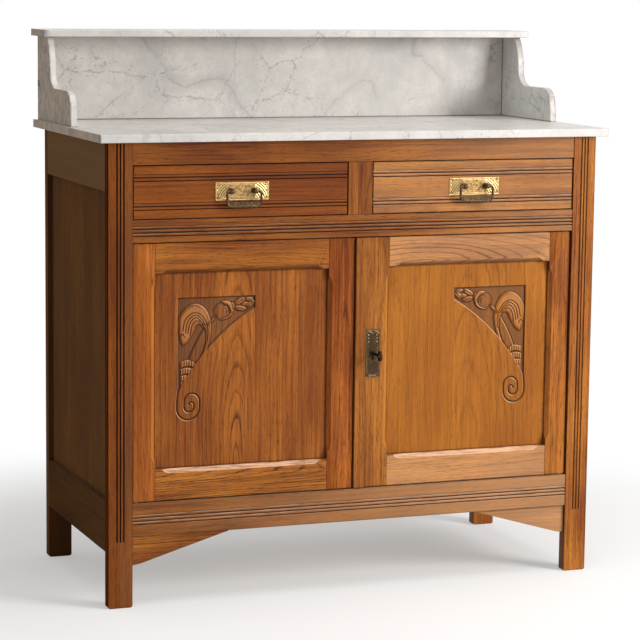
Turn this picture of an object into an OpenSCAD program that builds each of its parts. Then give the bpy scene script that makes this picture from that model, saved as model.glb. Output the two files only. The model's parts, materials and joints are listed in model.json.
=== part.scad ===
// Washstand with a marble top: an oak frame-and-panel cupboard with two drawers over
// two doors, a marble counter, a marble splash with ogee gables and a narrow shelf.
// Millimetres. The floor is z = 0, the front faces -Y, and x = 0 is the middle.

/* [Carcase] */
// Width across the four posts
body_w = 962; // [900:1:1040]
// Depth from the front posts' faces to the rear posts' backs
body_d = 442; // [410:1:480]
// Height from the floor to the underside of the marble
body_h = 844; // [820:1:880]
// Width of a post seen from the front
post_w = 46; // [42:1:54]
// Thickness of a post seen from the side
post_t = 21; // [19:0.5:24]
// Rounding of the posts' long edges
post_arris = 1; // [0.5:0.1:1.5]
// Rounding of the lower corners of each foot
foot_r = 5; // [2:0.5:8]
// Flutes cut in each front post
flute_count = 3; // [1:1:5]
// Spacing of the flutes
flute_pitch = 6.3; // [5:0.1:8]
// Width of one flute
flute_w = 3.2; // [2:0.1:4]
// Height of the flutes' lower stops
flute_foot = 122; // [100:1:160]

/* [Front rails] */
// Set-back of the front rails behind the posts' faces
rail_set = 1; // [0.5:0.1:2]
// Height of the rail under the marble
top_rail_h = 41; // [35:1:50]
// Height of the drawers' opening
drawer_open_h = 98; // [90:1:105]
// Height of the frieze rail between the drawers and the doors
frieze_h = 41; // [38:1:50]
// Height of the base rail
base_rail_h = 61; // [50:1:70]
// Height of the base rail's lower edge above the floor
base_rail_z = 130; // [115:1:150]
// Width of the stile between the drawers
drawer_stile_w = 48; // [40:1:56]
// Spacing of the reeds
reed_pitch = 6.4; // [5:0.1:7]
// Depth of the sunk channel that holds the reeds
reed_d = 2.4; // [1.5:0.1:3]
// Reeds on the frieze rail and on the base rail
rail_reeds = 3; // [1:1:4]
// Length of a tenon
tenon_l = 14; // [10:1:16]
// Thickness of a tenon
tenon_t = 7; // [6:0.5:8]
// Shoulder above and below a tenon
tenon_shoulder = 6; // [4:0.5:8]

/* [Brackets] */
// Length of a corner bracket under the base rail
bracket_l = 185; // [140:1:220]
// Drop of a corner bracket at its post
bracket_h = 54; // [40:1:60]
// Length of the level end of a bracket at its post
bracket_flat = 14; // [8:1:20]
// Thickness of a bracket
bracket_t = 15; // [12:0.5:15]

/* [Sides and back] */
// Thickness of the side rails
side_rail_t = 21; // [18:0.5:24]
// Height of the upper side rails
side_top_h = 88; // [76:1:95]
// Height of the lower side rails
side_base_h = 91; // [80:1:100]
// Height of the lower side rails' lower edge above the floor
side_base_z = 102.5; // [95:0.5:110]
// Thickness of the side panels
side_panel_t = 8; // [6:0.5:9]
// Set-back of the side panels behind the side rails' outer faces
side_panel_set = 10; // [8:0.5:11]
// Depth of the grooves that hold the panels
groove_d = 6; // [4:0.5:8]
// Thickness of the back rails
back_rail_t = 18; // [16:0.5:21]
// Height of the back rails
back_rail_h = 60; // [55:1:70]
// Thickness of the back boards
back_board_t = 8; // [6:0.5:9]
// Number of back boards
back_board_count = 4; // [3:1:6]

/* [Inside] */
// Thickness of the cupboard bottom
bottom_t = 16; // [14:0.5:20]
// Rise of the cupboard bottom over the base rail, where the doors close against it
bottom_rise = 8; // [6:0.5:10]
// Height of the inner shelf's top above the floor
inner_shelf_z = 444; // [380:1:500]
// Thickness of the inner shelf
inner_shelf_t = 14; // [12:0.5:18]
// Set-back of the inner shelf's front edge behind the posts' faces
inner_shelf_set = 70; // [60:1:160]
// Side of the square bearers under the bottom and the shelf
bearer_s = 20; // [16:1:24]
// Thickness of the drawer runners, guides and kickers
runner_t = 20; // [16:1:22]
// Width of a side runner and of a side kicker under or over a drawer's edge
runner_w = 45; // [40:1:50]
// Lap of the door stop behind the doors' top edges
stop_lap = 16; // [10:1:20]
// Thickness of the door stop
stop_t = 14; // [12:1:18]

/* [Doors] */
// Gap round the doors and the drawer fronts
front_gap = 1.5; // [1.2:0.1:2.5]
// Set-back of the doors' faces behind the posts' faces
door_set = 5.5; // [4:0.5:7]
// Thickness of the doors
door_t = 20; // [18:0.5:21]
// Width of the doors' hinge stiles
hinge_stile_w = 42; // [36:1:50]
// Width of the left door's meeting stile
left_meeting_w = 50.5; // [44:0.5:60]
// Width of the right door's meeting stile
right_meeting_w = 68.5; // [60:0.5:75]
// Distance from the middle of the front to the right door's meeting edge
meeting_x = 6.5; // [4:0.5:9]
// Height of the doors' top rails
door_top_h = 55.5; // [50:0.5:65]
// Height of the doors' bottom rails
door_bottom_h = 57.5; // [50:0.5:65]
// Width of the stopped chamfers on the stiles and bottom rails
chamfer_w = 7.5; // [5:0.5:8]
// Width of the stopped chamfers on the top rails
top_chamfer_w = 8.5; // [6:0.5:9]
// Square length left at each corner before a chamfer starts
chamfer_stop = 12; // [8:1:20]
// Length over which a chamfer runs out
chamfer_run = 18; // [12:1:24]
// Set-back of the panels behind the doors' faces
panel_set = 9.5; // [9:0.5:11]
// Thickness of the doors' panels
panel_t = 6; // [5:0.5:7]
// Width of the meeting strip
strip_w = 21; // [18:0.5:22]
// Thickness of the meeting strip
strip_t = 5; // [3:0.5:5]
// Radius of the pivot pins at the doors' top and bottom
pivot_r = 2.5; // [2:0.1:3]
// Distance from a door's hinge edge to its pivot
pivot_in = 7; // [6:0.5:8]
// Distance from a door's face back to its pivot
pivot_back = 4.5; // [4:0.5:5]

/* [Carving] */
// Depth of the sunk ground
ground_d = 2.6; // [1.5:0.1:3]
// Width of the sunk ground along its top edge
ground_w = 148.5; // [120:0.5:170]
// Height of the sunk ground's short edge nearest the middle
ground_lip = 22; // [15:0.5:30]
// Height of the sunk ground along its long edge
ground_h = 174.5; // [150:0.5:200]
// Margin from the hinge stile to the sunk ground
ground_side = 44.5; // [30:0.5:60]
// Margin from the top rail to the sunk ground
ground_top = 46; // [35:0.5:60]
// Radius of the volute's outer turn
volute_r = 21.7; // [16:0.1:24]
// Half width of the volute's incised line
volute_line = 1.1; // [0.8:0.1:1.5]

/* [Drawers] */
// Set-back of the drawer fronts behind the posts' faces
drawer_set = 2; // [1:0.5:4]
// Thickness of the drawer fronts
drawer_front_t = 20; // [18:0.5:22]
// Reeds in each of a drawer front's two bands
drawer_reeds = 2; // [1:1:3]
// Distance from a drawer front's edge to the middle of its reeded band
drawer_band = 21.75; // [16:0.25:26]
// Space behind a shut drawer
drawer_space = 27; // [15:1:60]
// Height of the drawer sides
drawer_side_h = 81; // [70:1:84]
// Thickness of the drawer sides and backs
drawer_side_t = 12; // [10:0.5:14]
// Thickness of the drawer bottoms
drawer_bottom_t = 6; // [5:0.5:8]
// Height of the drawer bottoms above the sides' lower edges
drawer_bottom_rise = 10; // [8:0.5:14]
// Clearance between a drawer and its guides
guide_gap = 0.7; // [0.5:0.1:1]
// Dovetails at each corner of a drawer's front
tail_count = 3; // [2:1:5]
// Lap of the dovetails into a drawer's front
lap_d = 14; // [8:0.5:17]
// Taper of a dovetail, across for each mm along
tail_slope = 0.16; // [0.1:0.01:0.2]

/* [Handles] */
// Width of a backplate
plate_w = 102; // [90:1:110]
// Height of a backplate
plate_h = 33; // [28:1:38]
// Thickness of the pressed plates
plate_t = 1.2; // [0.8:0.1:1.6]
// Width of the bead round a pressed plate
bead_w = 2.2; // [1.5:0.1:3]
// Distance between a handle's two posts
bail_posts_w = 45.4; // [40:0.1:50]
// Radius of the posts' balls
ball_r = 5; // [4.5:0.1:5.5]
// Projection of the balls from the plate
ball_out = 11; // [9:0.5:14]
// Distance between the legs of a bail
bail_w = 65; // [62:0.5:70]
// Drop of a bail from its pivots to its grip
bail_drop = 24.2; // [20:0.1:28]
// Radius of a bail's round wire
bail_r = 2.2; // [2:0.1:2.5]
// Radius of a bail's pivot ends
bail_pin_r = 1.8; // [1.5:0.1:2]
// Height of the bail's flat grip
grip_h = 10.5; // [7:0.5:12]
// Thickness of the bail's flat grip
grip_t = 3.4; // [2.5:0.1:4]
// Rounding of the bail's lower corners
grip_r = 11; // [6:0.5:12]

/* [Lock] */
// Height of the keyhole above the floor
key_z = 445; // [420:1:480]
// Distance from the middle of the front to the keyhole
key_x = 30.8; // [28:0.1:34]
// Width of the escutcheon
escutcheon_w = 28.5; // [24:0.5:30]
// Height of the escutcheon
escutcheon_h = 91; // [70:1:100]
// Radius of the key's stem
key_r = 2.6; // [2:0.1:3]
// Reach of the key in front of the door's face
key_out = 43; // [38:0.5:50]
// Height of the key's bow
bow_h = 19; // [16:0.5:24]
// Length of the key's bit from the stem's axis
bit_l = 11; // [9:0.5:12]
// Height of the lock's case
case_h = 70; // [60:1:80]
// Width of the lock's case
case_w = 56; // [50:1:60]
// Depth of the lock's case
case_d = 14; // [13:0.5:16]
// Wall of the lock's case
case_wall = 1.5; // [1:0.1:2]
// Travel of the lock's bolt
bolt_travel = 9; // [6:0.5:10]
// Height of the lock bolt's head
bolt_h = 14; // [10:1:18]
// Radius of the left door's sliding bolt
rod_r = 3; // [2.5:0.1:4]
// Travel of the left door's sliding bolt
rod_travel = 10; // [8:1:12]

/* [Marble] */
// Overhang of the marble counter past the posts at each end
counter_over = 19; // [10:1:30]
// Thickness of the marble counter
counter_t = 15; // [12:0.5:25]
// Overhang of the counter in front of the posts
counter_front = 17; // [10:1:30]
// Overhang of the counter behind the rear posts
counter_back = 16; // [5:1:25]
// Height of the splash above the counter
splash_h = 161; // [120:1:180]
// Thickness of the splash
splash_t = 16; // [14:0.5:20]
// Set-back of the splash's back from the counter's rear edge
splash_set = 16; // [10:1:20]
// Set-in of the splash and the gables from the counter's ends
splash_in = 6; // [4:0.5:10]
// Thickness of the gables
gable_t = 11.5; // [10:0.5:20]
// Depth of a gable at its foot
gable_d = 228; // [210:1:240]
// Depth of a gable at its top
gable_top_d = 54; // [50:1:70]
// Height of a gable's ledge above the counter
ledge_h = 65; // [55:1:75]
// Radius of the rounded nose at a gable's front
nose_r = 34; // [28:1:38]
// Radius of the hollow over a gable's ledge
cove_r = 34; // [28:1:38]
// Forward step of a gable's foot in front of its nose
foot_step = 4; // [2:0.5:6]
// Lean of a gable's upper front edge
brow_lean = 22; // [16:1:26]
// Overhang of the narrow shelf past the splash at each end
shelf_over = 12; // [6:1:16]
// Depth of the narrow shelf
shelf_d = 109; // [100:1:120]
// Thickness of the narrow shelf
shelf_t = 13; // [12:0.5:20]
// Overhang of the narrow shelf behind the splash
shelf_back = 13; // [5:1:15]
// Rounding of the narrow shelf's corners
shelf_r = 12; // [6:1:20]
// Easing of the marble's edges
marble_arris = 1.5; // [1:0.1:2.5]
// Width of an iron cramp's head on the splash's end
cramp_w = 10; // [8:0.5:12]
// Height of an iron cramp's head
cramp_h = 11; // [10:0.5:14]
// Thickness of an iron cramp's head
cramp_t = 1; // [0.8:0.1:2]
// Reach of an iron cramp into the gable
cramp_in = 8; // [6:0.5:12]
// Radius of an iron cramp's legs
cramp_r = 1.5; // [1.2:0.1:2]

/* [Hidden] */

$fn = 64;

// Colours
dark_oak = [0.36, 0.19, 0.10];
oak = [0.55, 0.31, 0.15];
light_oak = [0.68, 0.42, 0.20];
inner_oak = [0.62, 0.50, 0.34];
marble = [0.86, 0.86, 0.87];
bronze = [0.33, 0.25, 0.17];
brass = [0.66, 0.52, 0.28];
iron = [0.20, 0.19, 0.18];

// Clearances
joint_gap = 0.1;        // round a tenon, a panel's edge and a glued lap
run_gap = 0.3;          // between a piece that moves and what carries it
pin_gap = 0.05;         // radial clearance of a pivot pin
cut = 1;                // extra length of a cutter past a face

// The carcase's main planes
half_w = body_w / 2;
inner_x = half_w - post_w;
rear_y = body_d - post_t;
rail_t = post_t - rail_set;
top_rail_z = body_h - top_rail_h;
frieze_top = top_rail_z - drawer_open_h;
frieze_z = frieze_top - frieze_h;
base_rail_top = base_rail_z + base_rail_h;
side_top_z = body_h - side_top_h;
side_base_top = side_base_z + side_base_h;
side_x = half_w - side_rail_t;
panel_out_x = half_w - side_panel_set;
panel_in_x = panel_out_x - side_panel_t;
back_top_z = body_h - back_rail_h;
back_y = body_d - back_rail_t;
board_y = back_y + (back_rail_t - back_board_t) / 2;
reed_r = reed_pitch / 2 - 0.25;
bracket_lip = 2;        // blunt edge at both ends of a bracket's curve

// Reach of the key and of the counter, and the place of the posts' faces
key_reach = key_out - door_set;
front_reach = max(key_reach, counter_front);
back_reach = max(counter_back, counter_back - splash_set + shelf_back);
front_y = (front_reach - body_d - back_reach) / 2;

// The inside
bottom_z = base_rail_top + bottom_rise - bottom_t;
door_back = door_set + door_t;
stop_y = door_back + 2 * run_gap;
runner_z = frieze_top - runner_t;

// The doors
door_z = base_rail_top + front_gap;
door_top = frieze_z - front_gap;
door_h = door_top - door_z;
hinge_x = inner_x - front_gap;
panel_edge_x = hinge_x - hinge_stile_w;
left_meeting_x = meeting_x + front_gap;
field_z = door_z + door_bottom_h;
field_top = door_top - door_top_h;
panel_y = door_set + panel_set;
panel_groove = 7;
pivot_x = hinge_x - pivot_in;
pivot_y = door_set + pivot_back;
pivot_l = 12;
socket_r = pivot_r + 2;
collar_r = pivot_r + 1.5;
hinge_ease = 1.2;       // side of the sliver taken off a door's hinge arris
strip_r = 1.5;          // rounding of the meeting strip's arrises
swing_r = sqrt(pow(pivot_in, 2) + pow(door_t - pivot_back, 2));
relief_x = pivot_x - sqrt(pow(swing_r, 2) - pow(stop_y - pivot_y, 2)) - 2 * run_gap;

// The carving's sunk ground, under one arch that spans both doors
ground_x1 = panel_edge_x - ground_side;
ground_x0 = ground_x1 - ground_w;
ground_z1 = field_top - ground_top;
lip_z = ground_z1 - ground_lip;
tip_z = ground_z1 - ground_h;
arch_z = (pow(ground_x0, 2) + pow(lip_z, 2) - pow(ground_x1, 2) - pow(tip_z, 2))
    / (2 * (lip_z - tip_z));
arch_r = sqrt(pow(ground_x1, 2) + pow(tip_z - arch_z, 2));

// The volute under the ground's tip: how far each turn lies inside the one before, and
// the heights at which its turns end, from the lowest turn's middle
volute_z = tip_z - 28;
volute_steps = [7, 5.4, 4.6];
volute_heights = [12, 2, 6];
volute_tail = 6;

// The drawers
drawer_x0 = drawer_stile_w / 2 + front_gap;
drawer_x1 = inner_x - front_gap;
drawer_mid = (drawer_x0 + drawer_x1) / 2;
drawer_z0 = frieze_top + front_gap;
drawer_z1 = top_rail_z - front_gap;
drawer_y1 = drawer_set + drawer_front_t;
drawer_box_z = frieze_top + run_gap;
drawer_back_y = board_y - drawer_space;
bottom_groove = 5;
tail_root = 0.3;        // half of a dovetail's root, as a share of the tails' pitch

// The handles
handle_z = (drawer_z0 + drawer_z1) / 2;
plate_y = drawer_set - plate_t;
bail_y = plate_y - ball_out;
bail_bend = 4;
plate_r = 1.5;          // rounding of a pressed plate's corners
post_foot_t = 1.5;      // a handle post's foot against its plate
post_neck_r = ball_r - 2;
ball_wall = 2;          // metal left at the blind end of a ball's bore
pin_end = 1;            // play between a bail's pivot end and the bore's end

// The lock
case_in = 2;            // set-in of the case from the door's meeting edge
case_x = case_in - meeting_x;
case_y = door_back;
keyhole_r = key_r + 1.2;
slot_w = 4.2;
bit_w = 3.2;
bit_t = 5;
bit_y = case_y + case_d - case_wall - bit_t - 1;
bolt_t = 3.5;
bolt_y = case_y + case_wall + 0.5;
head_l = 17;
tail_h = 6;
tail_z = bit_l + 2;
neck_l = 3;             // play of the bolt's neck behind the case's edge
tail_space = 8;         // room in the case behind the bolt's tail
keeper_wall = 2;
keeper_x = left_meeting_x + 1.5;
keeper_space = 6;       // room in the keeper behind the thrown bolt
keeper_ear = 8;         // length of the keeper's ears, where it is screwed on

// The key
bow_r = 7.5;
bow_wall = 3;
bow_t = 4;
key_collar_t = 2;
key_collar_r = keyhole_r + 1.2;

// The left door's sliding bolt
rod_x = left_meeting_x + left_meeting_w / 2;
rod_y = door_back + rod_r + 2.5;
rod_top = frieze_z - stop_lap - 3;
rod_l = 90;
knob_r = 3.5;
knob_neck_r = 2;
knob_out = 6;
guide_h = 10;
guide_wall = 3;
guide_end = 4;          // distance from the guide plate's ends to its staples
guide_plate_t = 1.5;

// The marble
counter_top = body_h + counter_t;
slab_y0 = -counter_front;
slab_y1 = body_d + counter_back;
splash_y1 = slab_y1 - splash_set;
splash_y0 = splash_y1 - splash_t;
cramp_set = 2.5;        // set-in of a cramp's head from the splash's back
cramp_corner = 1;       // rounding of a cramp's head
cramp_y = splash_y1 - cramp_w / 2 - cramp_set;
counter_x = half_w + counter_over;
splash_x = counter_x - splash_in;
shelf_x = splash_x + shelf_over;
shelf_z = counter_top + splash_h;
gable_y0 = splash_y0 - gable_d;
gable_y2 = splash_y0 - gable_top_d;
ledge_z = counter_top + ledge_h;
brow_z = ledge_z + cove_r;
brow_rise = shelf_z - brow_z;
brow_r = (pow(brow_rise, 2) + pow(brow_lean, 2)) / (2 * brow_lean);
shelf_y1 = splash_y1 + shelf_back;
shelf_y0 = shelf_y1 - shelf_d;

// ---- Helpers ----

// Puts the model's front plane, at y = 0 in every module, in its place
module stand() {
    translate([0, front_y, 0]) children();
}

// Draws a right-hand piece on the left
module on_left() {
    mirror([1, 0, 0]) children();
}

module on_both() {
    children();
    on_left() children();
}

// A box between two corners
module block(lo, hi) {
    translate(lo) cube(hi - lo);
}

// Runs a profile of y and z along x
module along_x(x0, x1) {
    translate([x0, 0, 0]) rotate([90, 0, 90]) linear_extrude(x1 - x0) children();
}

// Runs a profile of x and z along y
module along_y(y0, y1) {
    translate([0, y1, 0]) rotate([90, 0, 0]) linear_extrude(y1 - y0) children();
}

// A rectangle between two corners, with rounded corners
module round_rect(lo, hi, r) {
    size = hi - lo;
    translate(lo + [r, 0]) square([size[0] - 2 * r, size[1]]);
    translate(lo + [0, r]) square([size[0], size[1] - 2 * r]);
    for (x = [lo[0] + r, hi[0] - r], z = [lo[1] + r, hi[1] - r])
        translate([x, z]) circle(r);
}

// Profile of the hollow round a band of reeds: the channel less its round beads
module reed_band(count, face_y, z) {
    half = count * reed_pitch / 2;
    difference() {
        translate([face_y - cut, z - half]) square([reed_d + cut, 2 * half]);
        for (i = [0:count - 1])
            translate([face_y + reed_r, z - half + (i + 0.5) * reed_pitch]) circle(reed_r);
    }
}

// Cutter for a chamfer of the edge along x whose wood lies at -y and -z.
// Its ends run out in a hollow curve.
module stop_chamfer(length, width, run) {
    depth = width / sqrt(2);
    r = (run * run + depth * depth) / (2 * depth);
    reach = length / 2 - run;
    rotate([45, 0, 0])
        translate([0, 0, -width])
            linear_extrude(2 * width) {
                translate([-reach, -depth]) square([2 * reach, r]);
                for (side = [-1, 1])
                    translate([side * reach, r - depth]) circle(r);
            }
}

// ---- Posts, rails and panels ----

module post_blank() {
    intersection() {
        linear_extrude(body_h)
            round_rect([inner_x, 0], [half_w, post_t], post_arris);
        along_y(-cut, post_t + cut) {
            round_rect([inner_x, 0], [half_w, 2 * foot_r + cut], foot_r);
            translate([inner_x, foot_r + cut]) square([post_w, body_h - foot_r]);
        }
    }
}

module flutes() {
    for (i = [0:flute_count - 1])
        translate([inner_x + post_w / 2 + (i - (flute_count - 1) / 2) * flute_pitch, 0, 0]) {
            translate([0, 0, flute_foot]) cylinder(h = body_h, r = flute_w / 2);
            translate([0, 0, flute_foot]) sphere(flute_w / 2);
        }
}

// Tenon of a front or back rail at the right-hand post, grown by gap as its mortise
module rail_tenon(y, z, height, gap) {
    block([inner_x - gap, y - tenon_t / 2 - gap, z + tenon_shoulder - gap],
        [inner_x + tenon_l + gap, y + tenon_t / 2 + gap, z + height - tenon_shoulder + gap]);
}

// Tenon of a side rail at the front post, grown by gap as its mortise
module side_tenon(z, height, gap) {
    x = half_w - side_rail_t / 2;
    block([x - tenon_t / 2 - gap, post_t - tenon_l - gap, z + tenon_shoulder - gap],
        [x + tenon_t / 2 + gap, post_t + gap, z + height - tenon_shoulder + gap]);
}

front_tenon_y = rail_set + rail_t / 2;
back_tenon_y = back_y + back_rail_t / 2;
front_rails = [[top_rail_z, top_rail_h], [frieze_z, frieze_h], [base_rail_z, base_rail_h]];
side_rails = [[side_top_z, side_top_h], [side_base_z, side_base_h]];
back_rails_at = [[back_top_z, back_rail_h], [base_rail_z, back_rail_h]];

// What the side of the stand cuts out of a post
module side_cuts() {
    for (rail = side_rails)
        side_tenon(rail[0], rail[1], joint_gap);
    block([panel_in_x - joint_gap, post_t - groove_d - joint_gap, side_base_top - groove_d],
        [panel_out_x + joint_gap, post_t + cut, side_top_z + groove_d]);
}

module front_post() {
    difference() {
        post_blank();
        flutes();
        side_cuts();
        for (rail = front_rails)
            rail_tenon(front_tenon_y, rail[0], rail[1], joint_gap);
    }
}

module rear_post() {
    difference() {
        translate([0, body_d, 0]) mirror([0, 1, 0]) difference() {
            post_blank();
            side_cuts();
        }
        for (rail = back_rails_at)
            rail_tenon(back_tenon_y, rail[0], rail[1], joint_gap);
        block([inner_x - cut, board_y - joint_gap, base_rail_z + back_rail_h - groove_d],
            [inner_x + groove_d + joint_gap, board_y + back_board_t + joint_gap,
                back_top_z + groove_d]);
    }
}

module front_left_post() {
    color(oak) stand() on_left() front_post();
}

module front_right_post() {
    color(light_oak) stand() front_post();
}

module rear_left_post() {
    color(dark_oak) stand() on_left() rear_post();
}

module rear_right_post() {
    color(dark_oak) stand() rear_post();
}

module front_rail(z, height) {
    difference() {
        along_x(-inner_x, inner_x) children();
        on_both() pivot_hole(z, height);
    }
    on_both() rail_tenon(front_tenon_y, z, height, 0);
}

// Bore for a pivot socket, from the rail's edge that faces the doors
module pivot_hole(z, height) {
    for (edge = [frieze_z, base_rail_top])
        if (edge == z || edge == z + height)
            translate([pivot_x, pivot_y, edge])
                cylinder(h = 2 * pivot_l, r = socket_r, center = true);
}

module rail_profile(z, height) {
    translate([rail_set, z]) square([rail_t, height]);
}

module top_rail() {
    color(light_oak) stand() front_rail(top_rail_z, top_rail_h)
        rail_profile(top_rail_z, top_rail_h);
}

module frieze_rail() {
    color(oak) stand() front_rail(frieze_z, frieze_h)
        difference() {
            rail_profile(frieze_z, frieze_h);
            reed_band(rail_reeds, rail_set, frieze_z + frieze_h / 2);
        }
}

module base_rail() {
    color(oak) stand() front_rail(base_rail_z, base_rail_h)
        difference() {
            rail_profile(base_rail_z, base_rail_h);
            reed_band(rail_reeds, rail_set, base_rail_z + base_rail_h / 2);
        }
}

module drawer_stile() {
    color(oak) stand()
        block([-drawer_stile_w / 2, rail_set, frieze_top],
            [drawer_stile_w / 2, post_t, top_rail_z]);
}

module corner_brackets() {
    foot_z = base_rail_z - bracket_h;
    color(oak) stand() on_both()
        along_y(post_t - bracket_t, post_t)
            polygon([
                [inner_x - bracket_l, base_rail_z],
                [inner_x - bracket_l, base_rail_z - bracket_lip],
                [inner_x - bracket_flat, foot_z + bracket_lip],
                [inner_x, foot_z],
                [inner_x, base_rail_z],
            ]);
}

module side_rail_pair() {
    for (rail = side_rails) {
        block([side_x, post_t, rail[0]], [half_w, rear_y, rail[0] + rail[1]]);
        side_tenon(rail[0], rail[1], 0);
        translate([0, body_d, 0]) mirror([0, 1, 0]) side_tenon(rail[0], rail[1], 0);
    }
}

module side_rails_grooved() {
    difference() {
        side_rail_pair();
        block([panel_in_x - joint_gap, 0, side_base_top - groove_d - joint_gap],
            [panel_out_x + joint_gap, body_d, side_top_z + groove_d + joint_gap]);
    }
}

module side_panel() {
    block([panel_in_x, post_t - groove_d, side_base_top - groove_d],
        [panel_out_x, rear_y + groove_d, side_top_z + groove_d]);
}

module left_side_rails() {
    color(dark_oak) stand() on_left() side_rails_grooved();
}

module right_side_rails() {
    color(dark_oak) stand() side_rails_grooved();
}

module left_side_panel() {
    color(dark_oak) stand() on_left() side_panel();
}

module right_side_panel() {
    color(dark_oak) stand() side_panel();
}

module back_rails() {
    color(inner_oak) stand() {
        difference() {
            for (rail = back_rails_at)
                block([-inner_x, back_y, rail[0]], [inner_x, body_d, rail[0] + rail[1]]);
            block([-half_w, board_y - joint_gap, base_rail_z + back_rail_h - groove_d - joint_gap],
                [half_w, board_y + back_board_t + joint_gap, back_top_z + groove_d + joint_gap]);
        }
        for (rail = back_rails_at)
            on_both() rail_tenon(back_tenon_y, rail[0], rail[1], 0);
    }
}

module back_boards() {
    span = 2 * (inner_x + groove_d);
    board_w = span / back_board_count;
    color(inner_oak) stand()
        for (i = [0:back_board_count - 1])
            translate([-span / 2 + i * board_w, 0, 0])
                block([run_gap, board_y, base_rail_z + back_rail_h - groove_d],
                    [board_w - run_gap, board_y + back_board_t, back_top_z + groove_d]);
}

// ---- Inside the carcase ----

// The bottom's front edge is the doors' lower stop. It is cut back at the hinges, where
// the doors' inner corners swing in.
module cupboard_bottom() {
    color(inner_oak) stand()
        difference() {
            along_x(joint_gap - side_x, side_x - joint_gap)
                polygon([
                    [post_t, bottom_z],
                    [post_t, base_rail_top],
                    [stop_y, base_rail_top],
                    [stop_y, bottom_z + bottom_t],
                    [rear_y - joint_gap, bottom_z + bottom_t],
                    [rear_y - joint_gap, bottom_z],
                ]);
            on_both()
                block([relief_x, 0, base_rail_top],
                    [side_x, pivot_y + swing_r + 2 * run_gap, bottom_z + bottom_t + cut]);
        }
}

module shelf_bearers() {
    shelf_under = inner_shelf_z - inner_shelf_t;
    color(inner_oak) stand() on_both() {
        block([side_x - bearer_s, post_t, bottom_z - bearer_s], [side_x, rear_y, bottom_z]);
        block([panel_in_x - bearer_s, inner_shelf_set, shelf_under - bearer_s],
            [panel_in_x, rear_y, shelf_under]);
    }
}

module inner_shelf() {
    color(inner_oak) stand()
        block([joint_gap - panel_in_x, inner_shelf_set, inner_shelf_z - inner_shelf_t],
            [panel_in_x - joint_gap, rear_y - joint_gap, inner_shelf_z]);
}

// Side runners with their guides, and the middle runner that serves both drawers
module drawer_runners() {
    guide_x = inner_x - front_gap + guide_gap;
    middle_x = drawer_x0 - guide_gap;
    color(inner_oak) stand() {
        on_both() {
            block([panel_in_x - runner_w, post_t, runner_z], [panel_in_x, rear_y, frieze_top]);
            block([guide_x, post_t, frieze_top - cut], [panel_in_x, rear_y, frieze_top + runner_t]);
        }
        block([-runner_w, post_t, runner_z], [runner_w, board_y, frieze_top]);
        block([-middle_x, post_t, frieze_top - cut], [middle_x, board_y, frieze_top + runner_t]);
    }
}

module drawer_kickers() {
    color(inner_oak) stand() {
        on_both()
            block([side_x - runner_w, post_t, top_rail_z], [side_x, rear_y, top_rail_z + runner_t]);
        block([-runner_w, post_t, top_rail_z], [runner_w, back_y, top_rail_z + runner_t]);
    }
}

module door_stop() {
    color(inner_oak) stand()
        difference() {
            along_x(-relief_x, relief_x)
                polygon([
                    [post_t, frieze_z],
                    [post_t, runner_z],
                    [stop_y + stop_t, runner_z],
                    [stop_y + stop_t, frieze_z - stop_lap],
                    [stop_y, frieze_z - stop_lap],
                    [stop_y, frieze_z],
                ]);
            translate([-rod_x, rod_y, frieze_z - stop_lap - cut])
                cylinder(h = rod_travel + 2 * cut, r = rod_r + 2 * run_gap);
        }
}

// Brass bushes for the doors' pivot pins
module pivot_sockets() {
    color(brass) stand() on_both()
        for (z = [frieze_z, base_rail_top - pivot_l])
            translate([pivot_x, pivot_y, z])
                difference() {
                    cylinder(h = pivot_l, r = socket_r - pin_gap);
                    translate([0, 0, -cut]) cylinder(h = pivot_l + 2 * cut, r = pivot_r + pin_gap);
                }
}

// ---- Marble ----

// A slab with every edge eased
module slab(lo, hi, plan_r, ease) {
    intersection() {
        translate([0, 0, lo[2]]) linear_extrude(hi[2] - lo[2])
            round_rect([lo[0], lo[1]], [hi[0], hi[1]], plan_r);
        along_x(lo[0], hi[0]) round_rect([lo[1], lo[2]], [hi[1], hi[2]], ease);
        along_y(lo[1], hi[1]) round_rect([lo[0], lo[2]], [hi[0], hi[2]], ease);
    }
}

module marble_counter() {
    color(marble) stand()
        slab([-counter_x, slab_y0, body_h], [counter_x, slab_y1, counter_top],
            2 * marble_arris, marble_arris);
}

module marble_splash() {
    color(marble) stand()
        difference() {
            block([-splash_x, splash_y0, counter_top], [splash_x, splash_y1, shelf_z]);
            on_both() cramp_legs(2 * joint_gap);
        }
}

// Outline of a gable in y and z: a rounded nose, a level ledge, a hollow and a leaning brow
module gable_outline() {
    nose_y = gable_y0 + foot_step + nose_r;
    brow_y = gable_y2 - brow_lean;
    difference() {
        polygon([
            [gable_y0, counter_top],
            [gable_y0 + foot_step, ledge_z - nose_r],
            [gable_y0 + foot_step, ledge_z],
            [brow_y - cove_r, ledge_z],
            [brow_y - cove_r, brow_z],
            [brow_y, brow_z],
            [brow_y, shelf_z],
            [splash_y0, shelf_z],
            [splash_y0, counter_top],
        ]);
        difference() {
            translate([gable_y0, ledge_z - nose_r]) square([foot_step + nose_r, nose_r + cut]);
            translate([nose_y, ledge_z - nose_r]) circle(nose_r);
        }
        translate([brow_y - cove_r, brow_z]) circle(cove_r);
        difference() {
            translate([brow_y - cut, brow_z]) square([brow_lean + 2 * cut, brow_rise + cut]);
            translate([brow_y + brow_r, brow_z]) circle(brow_r, $fn = 180);
        }
    }
}

module gable() {
    difference() {
        along_x(splash_x - gable_t, splash_x) gable_outline();
        cramp_legs(2 * joint_gap);
    }
}

module left_gable() {
    color(marble) stand() on_left() gable();
}

module right_gable() {
    color(marble) stand() gable();
}

module marble_shelf() {
    color(marble) stand()
        slab([-shelf_x, shelf_y0, shelf_z], [shelf_x, shelf_y1, shelf_z + shelf_t],
            shelf_r, marble_arris);
}

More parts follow.
